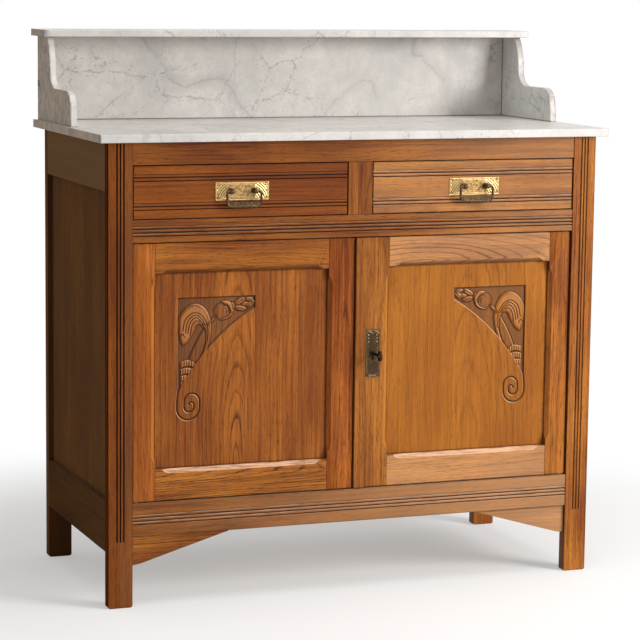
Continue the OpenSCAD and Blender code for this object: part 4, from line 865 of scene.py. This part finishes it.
# Outlines and lines of the carving, as points (s, t)
PLUME = [(11, 87), (6, 80), (3, 68), (1.5, 54), (2, 40), (8, 27), (19, 16), (33, 11.5), (48, 16.5),
         (58, 29), (63.5, 46), (64.5, 64), (60.5, 85), (53, 104), (45, 118), (38, 123), (41, 114),
         (47.5, 102), (52, 87), (54, 74), (53, 62), (48, 54), (42, 50), (36.5, 53), (32.5, 61),
         (27, 71), (20, 81)]
PLUME_LINES = [
    [(10, 60), (14, 42), (22, 32), (32, 28), (42, 31), (50, 39), (55.5, 50), (58, 63), (57, 80)],
    [(15, 64), (18.5, 46), (25, 36.5), (33, 32.5), (41, 35.5), (48, 43), (53, 52)],
    [(19.5, 66), (22.5, 50), (28, 41), (34, 37.5), (40, 40), (46, 46.5), (50, 52)],
    [(24, 70), (26.5, 55), (31, 46), (36, 43), (41, 45)],
]
PLUME_TIP = [(4, 72), (9, 66), (13, 72)]
POD = [(50.5, 59), (53.5, 75), (51.5, 88), (46.5, 103), (39, 115), (32, 122), (19, 122), (21.5, 113),
       (28.5, 97), (39, 76)]
POD_LINES = [[(50.5, 57), (39, 76), (28.5, 97), (21, 117)], [(55, 80), (50.5, 96), (43, 111), (34, 123)]]
# Collar bands from the pod to the tip: middle (s, t) and half width
BANDS = [(19.5, 120, 14.0), (17.0, 134, 11.4), (14.2, 147.5, 8.6), (11.6, 159, 5.6)]
BAND_HALF = 5.6
BAND_SAG = 0.02
BAND_FLUTE = 4.7
# Ovals of the bud and of the flower's petals: middle (s, t), half sizes, turn and rise
OVALS = [(87, 27, 17.0, 16.0, 0.0, 0.5), (66, 43, 8.5, 2.6, -0.75, 0.55), (104, 20, 5.0, 8.5, 0.1, 0.75),
         (119, 10, 11.5, 5.0, -0.49, 1.0), (120, 23, 11.5, 4.6, 0.2, 0.9), (129, 16, 7.5, 4.0, -0.1, 0.7),
         (139.5, 15, 9.5, 4.8, -0.67, 0.95), (137, 6.5, 8.0, 3.6, 0.1, 0.7)]
LEAVES = [[(107, 27), (102, 36), (93, 42), (80, 43), (92, 38.5), (99, 33), (103, 24)],
          [(84, 9.5), (94, 8.5), (102, 13), (105.5, 22), (103, 30), (99.5, 22), (95, 16), (88, 13)]]
BUD_LINES = [[(86, 16.5), (93, 18), (97, 23.5), (98, 31)], [(90, 22), (93.5, 26), (93, 31)],
             [(112, 14), (120, 9), (128, 5)], [(111, 22), (120, 23), (130, 26)],
             [(134, 20), (140, 15), (146, 9)]]


class Relief:
    """A carved surface at the points (s, t): lift is how far it stands over the sunk ground in mm,
    and dark how much wax and painted shade lies there."""

    def __init__(self, s, t, lift):
        self.s, self.t, self.lift = s, t, lift
        self.dark = np.zeros(s.shape)

    def wall(self, edge, strength):
        """Wax and painted shade at the foot of a wall, by the distance from it."""
        self.dark = np.maximum(self.dark, strength * np.exp(-((edge - 0.5) / 1.5) ** 2))

    def body(self, gap, high, soft):
        """A raised form with rounded sides, by the distance inside its outline."""
        dome = high * np.sqrt(np.clip(1 - (1 - np.clip(gap / soft, 0, 1)) ** 2, 0, 1))
        self.lift = np.where(gap > 0, np.maximum(self.lift, dome), self.lift)
        # Wax and painted shade round the foot of the form.
        self.dark = np.maximum(np.where(gap > 0.8, 0, self.dark),
                               0.75 * np.exp(-((gap + 0.6) / 1.2) ** 2))

    def outline(self, points, high, soft):
        """A raised form inside a smooth ring through points."""
        self.body(within(self.s, self.t, curve(points, closed=True)), high, soft)

    def cuts(self, lines, deep, half):
        """Cuts along smooth lines through points, darkened with wax and painted shade."""
        for points in lines:
            gap = near(self.s, self.t, curve(points))
            self.lift = self.lift - deep * np.exp(-(gap / half) ** 2)
            self.dark = np.maximum(self.dark, 0.85 * np.exp(-(gap / (0.8 * half)) ** 2))


def carving(s, t, side):
    """Depth of the carving below the panel's face in mm, with how much of each point is a crest,
    rubbed pale and given a painted highlight, how much is sunk ground and how much is darkened with
    wax and painted shade."""
    (x0, lip), (x1, tip) = ARCH_ENDS
    arch_z = (x0 ** 2 + lip ** 2 - x1 ** 2 - tip ** 2) / (2 * (lip - tip))
    arch = np.hypot(GROUND_X - s, GROUND_Z - t - arch_z) - math.hypot(x1, tip - arch_z)
    ground = smooth(np.minimum(np.minimum(s, GROUND_W - s), np.minimum(t, arch)), -0.35, 0.55)
    rise = settings().carving.plume / MM
    scatter = np.sin(s * 12.9898 + t * 78.233) * 43758.5453
    tooling = scatter - np.floor(scatter)

    # Walls that face left stand in shadow and are darkened more, with painted shade and wax, than those that
    # face right
    relief = Relief(s, t, TOOLING * tooling)
    left = side == "left"
    for edge, strength in ((t, 0.9), (s, 0.5 if left else 1.0), (GROUND_W - s, 1.0 if left else 0.5),
                           (arch, 0.95 if left else 0.3)):
        relief.wall(edge, strength)
    relief.outline(POD, 0.5 * rise, 5.0)
    relief.outline(PLUME, rise, 9.0)
    relief.cuts(PLUME_LINES, 1.1, 1.15)
    relief.cuts(POD_LINES + [PLUME_TIP], 1.0, 1.2)
    for s0, t0, half in BANDS:
        bow = t0 + BAND_SAG * (s - s0) ** 2
        block = np.minimum(half - np.abs(s - s0), BAND_HALF - np.abs(t - bow))
        flute = 0.8 + 0.2 * np.cos((s - s0) * 2 * math.pi / BAND_FLUTE)
        relief.body(block, rise * flute, 2.4)
    for s0, t0, wide, tall, turn, high in OVALS:
        a = ((s - s0) * math.cos(turn) + (t - t0) * math.sin(turn)) / wide
        b = ((t - t0) * math.cos(turn) - (s - s0) * math.sin(turn)) / tall
        relief.body((1 - np.hypot(a, b)) * min(wide, tall), high * rise, 0.8 * min(wide, tall))
    for points in LEAVES:
        relief.outline(points, 0.95 * rise, 2.5)
    relief.cuts(BUD_LINES, 0.9, 0.95)

    height = np.minimum(relief.lift - GROUND_D, -0.05)
    plain = ground < 0.5
    gap = near(s, t, volute_path())
    groove = GROOVE_D * np.clip(1 - (gap / GROOVE_HALF) ** 2, 0, 1)
    # The crest is rubbed pale and given a painted highlight; the sunk ground is darkened, partly as painted
    # shade of the recess.
    crest = ground * smooth(relief.lift, 0.8 * rise, rise) * (1 - relief.dark)
    sunk = ground * smooth(-height, 0.3, 0.8 * GROUND_D) * (0.75 + 0.5 * tooling)
    # Wax and painted shade in the volute's groove.
    volute_wax_and_shade = np.where(plain, np.exp(-(gap / VOLUTE_WAX_AND_SHADE_HALF) ** 2), 0)
    return (ground * height - np.where(plain, groove, 0), crest, np.clip(sunk, 0, 1),
            np.maximum(ground * relief.dark, volute_wax_and_shade))


def lines_between(low, high, dense_low, dense_high, step):
    """Grid lines from low to high, close together only in the dense stretch."""
    count = max(1, round((dense_high - dense_low) / step))
    dense = np.linspace(dense_low, dense_high, count + 1)
    outer = [low, (low * 2 + dense_low) / 3] if dense_low - low > 4 * step else [low]
    after = [(high * 2 + dense_high) / 3, high] if high - dense_high > 4 * step else [high]
    return np.concatenate([outer, dense, after])


def relief_board(name, xs, zs, face, back, shape, smoothing=None, hole=None):
    """A closed board whose front is a grid moved along y by shape(x, z), all in metres. Faces
    whose middle is in the hole are left out."""
    mesh = bmesh.new()
    bmesh.ops.create_grid(mesh, x_segments=len(xs) - 1, y_segments=len(zs) - 1, size=1)
    data = bpy.data.meshes.new(name)
    mesh.to_mesh(data)
    mesh.free()
    flat = np.zeros(len(data.vertices) * 3)
    data.vertices.foreach_get("co", flat)
    flat = flat.reshape(-1, 3)
    x = xs[np.rint((flat[:, 0] + 1) / 2 * (len(xs) - 1)).astype(int)]
    z = zs[np.rint((flat[:, 1] + 1) / 2 * (len(zs) - 1)).astype(int)]
    move, marks = shape(x, z)
    data.vertices.foreach_set("co", np.stack([x, face - move, z], 1).ravel())
    for label, values in marks.items():
        data.attributes.new(label, "FLOAT", "POINT").data.foreach_set("value", values.astype(np.float32))
    mesh = bmesh.new()
    mesh.from_mesh(data)
    if hole:
        lost = [f for f in mesh.faces if hole(f.calc_center_median().x, f.calc_center_median().z)]
        bmesh.ops.delete(mesh, geom=lost, context="FACES")
        wall = bmesh.ops.extrude_face_region(mesh, geom=mesh.faces[:], use_keep_orig=True)["geom"]
    else:
        wall = bmesh.ops.extrude_edge_only(mesh, edges=[e for e in mesh.edges if e.is_boundary])["geom"]
    for v in [v for v in wall if isinstance(v, bmesh.types.BMVert)]:
        v.co.y = back
    if not hole:
        loop = [e for e in wall if isinstance(e, bmesh.types.BMEdge) and e.is_boundary]
        bmesh.ops.edgeloop_fill(mesh, edges=loop)
    bmesh.ops.recalc_face_normals(mesh, faces=mesh.faces)
    bpy.data.meshes.remove(data)
    return into_object(mesh, name, smooth=smoothing)


# How far the fine grid reaches past the carving, inwards and up, and outwards and down, in mm
MARGIN_IN, MARGIN_OUT = 3, 4


def carved_panel(side):
    """One door's panel, with its sunk and carved spandrel. side is "left" or "right"."""
    node = side + "_door_panel"
    low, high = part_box(node)
    sign = -1 if side == "left" else 1
    cell = settings().carving.cell
    reach = sorted((sign * (GROUND_X - GROUND_W - MARGIN_IN) * MM, sign * (GROUND_X + MARGIN_OUT) * MM))
    bottom = (GROUND_Z - GROUND_H - VOLUTE_DROP - VOLUTE_R - MARGIN_OUT) * MM
    xs = lines_between(low.x, high.x, *reach, cell)
    zs = lines_between(low.z, high.z, bottom, (GROUND_Z + MARGIN_IN) * MM, cell)

    def shape(x, z):
        depth, crest, sunk, cut = carving(GROUND_X - sign * x / MM, GROUND_Z - z / MM, side)
        return depth * MM, {"crest": crest, "sunk": sunk, "cut": cut}

    piece = relief_board(node + "_carved", xs, zs, low.y, high.y, shape, smoothing=60)
    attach(piece, side + "_door")
    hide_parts(node)

    # Each panel is glued up from two boards, which meet at the inner edge of the sunk ground
    joint = sign * (GROUND_X - GROUND_W) - (low.x + high.x) / 2 / MM
    facts = {
        "left": dict(seed=40.0, across=-36.0 + joint, depth=30.0, lean=0.11, tone=0.96, red=0.09,
                     figure=0.9, ring=1.5, calm=0.1, split=(joint, 160.0, 60.0, 0.03, 2.2, 0.45)),
        "right": dict(seed=52.0, across=-150.0, depth=60.0, lean=0.03, tone=0.97, red=0.03, gold=0.22,
                      figure=0.4, ring=2.4, calm=0.45,
                      split=(joint, joint + 36.0, 60.0, 0.105, 2.2, 0.7)),
    }[side]
    stiles = [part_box(side + "_hinge_stile"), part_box(side + "_meeting_stile")]
    first, last = stiles if side == "left" else reversed(stiles)
    foot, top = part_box(side + "_door_bottom_rail")[1].z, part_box(side + "_door_top_rail")[0].z
    field = ((first[1].x / MM, 0, foot / MM), (last[0].x / MM, 0, top / MM))
    # The field is darkened along its frame: wax and painted shade.
    coat(piece, oak(node + "_oak", node, "upright", carved=True, field=field, grime=0.5, **facts))


class WASHSTAND_OT_panels(bpy.types.Operator):
    """Carve the panels of both doors"""
    bl_idname = "washstand.panels"
    bl_label = "Carved panels"

    def execute(self, context):
        for side in ("left", "right"):
            carved_panel(side)
        return {"FINISHED"}


# ---- Marble ----

# Every slab: how light its stone is, how much paler its faces turned to the front are painted, as
# painted light, and what a face turned to the left is multiplied by, as painted light
SLABS = {
    "marble_counter": dict(tone=1.04, edge=0.08),
    "marble_splash": dict(tone=1.04),
    "left_gable": dict(tone=1.15, edge=0.1),
    "right_gable": dict(tone=0.86, inner=(1.48, 1.56, 1.62)),
    "marble_shelf": dict(tone=0.97, edge=0.03),
}
STANDING = ("marble_splash", "left_gable", "right_gable")
# A place that no slab reaches, for the joints that it lacks
NOWHERE = -1.0


def marble(node, seed, tone, edge=0.0, inner=(1, 1, 1)):
    """Marble for one slab, with the dirt in its joints."""
    made = settings().marble
    material, net, give = finish_shader(node + "_stone", specular=0.4, bump=0.3 * MM, strength=0.15)
    foot = head = side = NOWHERE
    if node in STANDING:
        foot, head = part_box("marble_counter")[1].z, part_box("marble_shelf")[0].z
    if node == "marble_splash":
        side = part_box("right_gable")[0].x
    low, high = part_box(node)
    coords = net.coords()
    place = net.vector("ADD", coords, (0.37 * seed, 1.3 * seed, 0.71 * seed))
    stone = net.group(marble_stone, Place=place, Coords=coords,
                      Normal=net.normal(), Ends=max(-low.x, high.x), Foot=foot, Head=head, Side=side,
                      Edge=edge, White=shade(made.white, tone), Cloud=shade(made.cloud, tone),
                      Vein=made.vein, Sawn=made.sawn, Dirt=made.dirt, Inner=inner)
    give(stone["Color"], stone["Roughness"], stone["Height"])
    return material


class WASHSTAND_OT_marble(bpy.types.Operator):
    """Finish the counter, the splash, the gables and the shelf in marble"""
    bl_idname = "washstand.marble"
    bl_label = "Marble"

    def execute(self, context):
        for seed, (node, facts) in enumerate(SLABS.items()):
            coat(frame["nodes"][node], marble(node, seed, **facts))
        return {"FINISHED"}


# ---- Metal fittings ----

# How raised a fitting without relief counts
EVEN = 0.6


def metal(name, bright, dark, age=0.0, raised=None, painted_top_highlight=False):
    """Metal rubbed bright where the attribute raised is high; with painted_top_highlight, painted bright on
    faces turned up instead, as a painted highlight.
    """
    material, net, give = finish_shader(name, metallic=1.0, specular=0.5, bump=0.1 * MM, strength=0.35)
    height = net.attribute(raised) if raised else EVEN
    # Painted highlight: faces turned up are painted bright.
    if painted_top_highlight:
        height = net.spread(net.parts(net.normal())[2], 0.2, 0.9, 0.22, 0.9)
    made = net.group(aged_metal, Place=net.coords(), Raised=height,
                     Bright=bright, Dark=dark, Age=age)
    give(made["Color"], made["Roughness"], made["Height"])
    return material


def bump(gap, half, rise):
    """A rounded ridge by the distance from its middle line."""
    return rise * np.clip(1 - (gap / half) ** 2, 0, 1)


# A handle's plate in mm about its middle: half its size, its nails, the flats round its posts, its
# two lines, and the middle and pitch of the ridges that fan over its ends
PLATE_W, PLATE_H = 51.0, 16.5
NAIL_X, NAIL_Z, NAIL_R, NAIL_FLAT = 46.6, 12.4, 1.5, 2.4
POST_X, POST_FLAT = 22.7, 6.6
TOP_LINE, LOW_LINE = 12.2, -9.4
FAN_X, FAN_Z, FAN_PITCH = 9.0, -23.0, 4.2
# The escutcheon in mm about its middle: half its size, its brow, beads, foot and panel
ESCUTCHEON_W, ESCUTCHEON_H = 14.2, 45.5
BROW_X, BROW_Z, BROW_END = 6.5, 42.0, 12.8
BEADS, BEAD_X, BEAD_Z, BEAD_PITCH = 3, 8.2, 36.0, 6.3
FOOT_W, FOOT_Z = 6.5, -40.5
PANEL_W, PANEL_H, PANEL_Z, PANEL_TOP = 9.8, 36.0, -2.0, 18
# The keyhole in mm: its middle, its radius, half its slot's width and how far the slot reaches down
KEY_X, KEY_Z = sum(corner.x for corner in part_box("escutcheon")) / 2 / MM, 445.0
KEYHOLE_R, SLOT_HALF, SLOT_END = 3.4, 1.7, 11.5
# How far a pressed plate's highest relief stands over its field, in mm
PLATE_RISE = 1.2


def plate_relief(x, z):
    """Relief of a handle's plate in mm: rims, lines, fans and nails, and how bright it is rubbed."""
    u, v = np.abs(x), np.abs(z)
    edge = np.minimum(PLATE_W - u, PLATE_H - v)
    high = bump(edge - 1.5, 1.5, 0.75)
    high = np.maximum(high, bump(v - TOP_LINE, 0.9, 0.4) * smooth(u, 26.0, 24.0))
    high = np.maximum(high, bump(z - LOW_LINE, 0.7, 0.3) * smooth(u, 22.0, 20.0))
    fan = 0.5 + 0.5 * np.cos(np.hypot(u - FAN_X, z - FAN_Z) * 2 * math.pi / FAN_PITCH)
    high = high + 0.85 * fan * smooth(u, 23.0, 28.0) * smooth(edge, 2.6, 4.0)
    nail = np.hypot(u - NAIL_X, v - NAIL_Z)
    high = np.where(nail < NAIL_FLAT, bump(nail, NAIL_R, 0.85), high)
    lift = np.where(np.hypot(u - POST_X, z) < POST_FLAT, 0.0, high)
    ring = smooth(nail, 1.2, 1.7) * smooth(nail, 3.0, 2.4)
    return lift, 0.34 + 0.62 * lift - 0.5 * ring


def escutcheon_relief(x, z):
    """Relief of the escutcheon in mm: rim, brow, beads, foot and panel, and how bright it is rubbed."""
    u = np.abs(x)
    edge = np.minimum(ESCUTCHEON_W - u, ESCUTCHEON_H - np.abs(z))
    high = bump(edge - 1.3, 1.3, 0.7)
    brow = z - BROW_Z + 0.12 * (u - BROW_X) ** 2
    high = np.maximum(high, bump(brow, 1.8, 0.95) * (u < BROW_END))
    for i in range(BEADS):
        bead = np.hypot((u - BEAD_X) / 0.8, z - BEAD_Z + BEAD_PITCH * i)
        high = np.maximum(high, bump(bead, 2.7 - 0.2 * i, 0.95 - 0.12 * i))
    foot = np.maximum(u - FOOT_W, np.abs(z - FOOT_Z) - 0.6)
    high = np.maximum(high, bump(np.maximum(foot, 0), 1.6, 1.0))
    panel = np.maximum(u - PANEL_W, np.abs(z - PANEL_Z) - PANEL_H)
    high = np.maximum(high, bump(panel, 0.8, 0.35) * (z < PANEL_TOP))
    return high, 0.2 + 0.8 * high


def in_keyhole(x, z):
    """Whether a point of the escutcheon lies in its keyhole."""
    u, v = x / MM - KEY_X, z / MM - KEY_Z
    return math.hypot(u, v) < KEYHOLE_R or (abs(u) < SLOT_HALF and -SLOT_END < v < 0)


def pressed(node, relief, hole=None):
    """A plate with a pressed relief, as large as a frame node."""
    low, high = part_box(node)
    middle = (low + high) / 2
    step = settings().metal.cell
    xs = np.linspace(low.x, high.x, round((high.x - low.x) / step) + 1)
    zs = np.linspace(low.z, high.z, round((high.z - low.z) / step) + 1)

    def shape(x, z):
        lift, raised = relief((x - middle.x) / MM, (z - middle.z) / MM)
        return -lift * MM, {"raised": np.clip(raised, 0, 1)}

    face = low.y + PLATE_RISE * MM
    return relief_board(node + "_pressed", xs, zs, face, high.y, shape, 50, hole)


class WASHSTAND_OT_fittings(bpy.types.Operator):
    """Finish the handles, the lock, the key and the bolts"""
    bl_idname = "washstand.fittings"
    bl_label = "Fittings"

    def execute(self, context):
        made = settings().metal
        bronze = metal("dark_bronze", made.bronze, shade(made.bronze, 0.35), 0.1)
        bail = metal("worn_bronze", shade(made.bronze, 1.9), shade(made.bronze, 0.4), painted_top_highlight=True)
        brass = metal("dull_brass", shade(made.brass, 0.8), made.tarnish, 0.2)
        plate = metal("pressed_brass", made.brass, made.tarnish, raised="raised")
        lock_plate = metal("pressed_bronze", shade(made.bronze, 1.45), shade(made.bronze, 0.4), 0.12,
                           raised="raised")
        iron = metal("black_iron", shade(made.iron, 1.5), made.iron, 0.2)
        finishes = {
            "left_bail": bail, "right_bail": bail, "left_bail_posts": bronze,
            "right_bail_posts": bronze, "pivot_sockets": brass, "left_door_pivots": brass,
            "right_door_pivots": brass, "lock_keeper": brass, "lock_bolt": brass,
            "gable_cramps": iron, "bolt_guides": iron, "door_bolt": iron, "lock_case": iron,
            "key": iron,
        }
        for node, finish in finishes.items():
            coat(frame["nodes"][node], finish)
        plates = [("left_backplate", "left_drawer", pressed("left_backplate", plate_relief), plate, "brass"),
                  ("right_backplate", "right_drawer", pressed("right_backplate", plate_relief), plate,
                   "brass"),
                  ("escutcheon", "right_door", pressed("escutcheon", escutcheon_relief, in_keyhole),
                   lock_plate, "bronze")]
        for node, body, piece, finish, slot in plates:
            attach(piece, body)
            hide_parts(node)
            coat(piece, finish)
        return {"FINISHED"}


# ---- Stage ----

# Each softbox: its place, what it points at, and its width and height, in metres
LAMPS = {
    "key": ((2.2, -2.3, 1.5), (0.0, 0.0, 0.5), (1.2, 1.2)),
    "top": ((0.3, -0.5, 2.8), (0.1, 0.1, 0.8), (2.2, 1.6)),
}
# The floor's radius, and how far from the middle its shadow starts and ends to run out, in metres
FLOOR_R, SHADOW_NEAR, SHADOW_FAR = 14.0, 0.7, 1.35


def softbox(name, place, target, size, power):
    """A square light that points at a target."""
    lamp = bpy.data.lights.new(name, "AREA")
    lamp.shape = "RECTANGLE"
    lamp.size, lamp.size_y = size
    lamp.energy = power
    piece = bpy.data.objects.new(name, lamp)
    piece.location = place
    piece.rotation_euler = (Vector(target) - Vector(place)).to_track_quat("-Z", "Y").to_euler()
    bpy.context.scene.collection.objects.link(piece)


def seen(net):
    """1 for the rays that show the backdrop: from the camera, and off metal or through glass."""
    rays = net.node("ShaderNodeLightPath").outputs
    return net.larger(rays["Is Camera Ray"], net.larger(rays["Is Glossy Ray"], rays["Is Transmission Ray"]))


def white_world(strength):
    """A soft light all round that shows as plain white."""
    world = bpy.data.worlds.new("studio")
    world.use_nodes = True
    world.node_tree.nodes.clear()
    net = Net(world.node_tree)
    level = net.line(seen(net), 1 - strength, strength)
    back = net.node("ShaderNodeBackground", {"Color": (1, 1, 1), "Strength": level})
    out = net.node("ShaderNodeOutputWorld", {"Surface": back.outputs[0]})
    out.is_active_output = True
    bpy.context.scene.world = world


def floor():
    """A pale floor that keeps the shadow and runs out to white."""
    mesh = bmesh.new()
    bmesh.ops.create_circle(mesh, cap_ends=True, segments=96, radius=FLOOR_R)
    piece = into_object(mesh, "floor")
    material = bpy.data.materials.new("floor_paper")
    material.use_nodes = True
    net = Net(material.node_tree)
    shader = material.node_tree.nodes["Principled BSDF"]
    shader.inputs["Base Color"].default_value = (*settings().stage.pale, 1)
    shader.inputs["Roughness"].default_value = 0.9
    shader.inputs["Specular IOR Level"].default_value = 0.0
    reach = net.node("ShaderNodeVectorMath", {0: net.coords()}, operation="LENGTH").outputs["Value"]
    away = net.times(net.spread(reach, SHADOW_NEAR, SHADOW_FAR, 0.35, 1.0), seen(net))
    glow = net.node("ShaderNodeEmission", {"Color": (1, 1, 1), "Strength": 1.0})
    both = net.node("ShaderNodeMixShader", {0: away, 1: shader.outputs[0], 2: glow.outputs[0]})
    out = material.node_tree.nodes["Material Output"]
    net.feed(out.inputs["Surface"], both.outputs[0])
    coat(piece, material)


def camera():
    """The camera at the photograph's angle."""
    made = settings().stage
    yaw, pitch, roll = made.yaw, made.pitch, made.roll
    ahead = Vector((math.sin(yaw) * math.cos(pitch), math.cos(yaw) * math.cos(pitch), -math.sin(pitch)))
    right = Vector((math.cos(yaw), -math.sin(yaw), 0))
    up = right.cross(ahead)
    across = right * math.cos(roll) + up * math.sin(roll)
    above = up * math.cos(roll) - right * math.sin(roll)
    lens = bpy.data.cameras.new("camera")
    lens.sensor_width = made.sensor
    lens.lens = made.lens
    piece = bpy.data.objects.new("camera", lens)
    turn = Matrix((across, above, -ahead)).transposed().to_4x4()
    piece.matrix_world = Matrix.Translation(made.place) @ turn
    bpy.context.scene.collection.objects.link(piece)
    bpy.context.scene.camera = piece


class WASHSTAND_OT_stage(bpy.types.Operator):
    """Set the floor, the light and the camera"""
    bl_idname = "washstand.stage"
    bl_label = "Stage"

    def execute(self, context):
        made = settings().stage
        white_world(made.fill)
        floor()
        for name, (place, target, size) in LAMPS.items():
            softbox(name + "_light", place, target, size, getattr(made, name))
        camera()
        context.scene.view_settings.view_transform = "Standard"
        return {"FINISHED"}


# ---- Add-on ----

STEPS = (WASHSTAND_OT_boards, WASHSTAND_OT_panels, WASHSTAND_OT_marble, WASHSTAND_OT_fittings,
         WASHSTAND_OT_stage)


class VIEW3D_PT_washstand(bpy.types.Panel):
    """The washstand's finishing steps and settings"""
    bl_label = "Washstand"
    bl_space_type = "VIEW_3D"
    bl_region_type = "UI"
    bl_category = "Washstand"

    def draw(self, context):
        for step in STEPS:
            self.layout.operator(step.bl_idname)
        for name in ("oak", "carving", "marble", "metal", "stage"):
            box = self.layout.box()
            group = getattr(settings(), name)
            for prop in group.bl_rna.properties:
                if prop.identifier not in ("name", "rna_type"):
                    box.prop(group, prop.identifier)


CLASSES = (OakSettings, CarvingSettings, MarbleSettings, MetalSettings, StageSettings,
           WashstandSettings, *STEPS, VIEW3D_PT_washstand)


def register():
    """Adds the classes and the scene's settings."""
    for kind in CLASSES:
        bpy.utils.register_class(kind)
    bpy.types.Scene.washstand = PointerProperty(type=WashstandSettings)


def unregister():
    """Takes the classes and the settings away again."""
    del bpy.types.Scene.washstand
    for kind in reversed(CLASSES):
        bpy.utils.unregister_class(kind)


def main():
    """Dresses the washstand."""
    register()
    for step in STEPS:
        folder, name = step.bl_idname.split(".")
        getattr(getattr(bpy.ops, folder), name)()


if __name__ == "__main__":
    main()
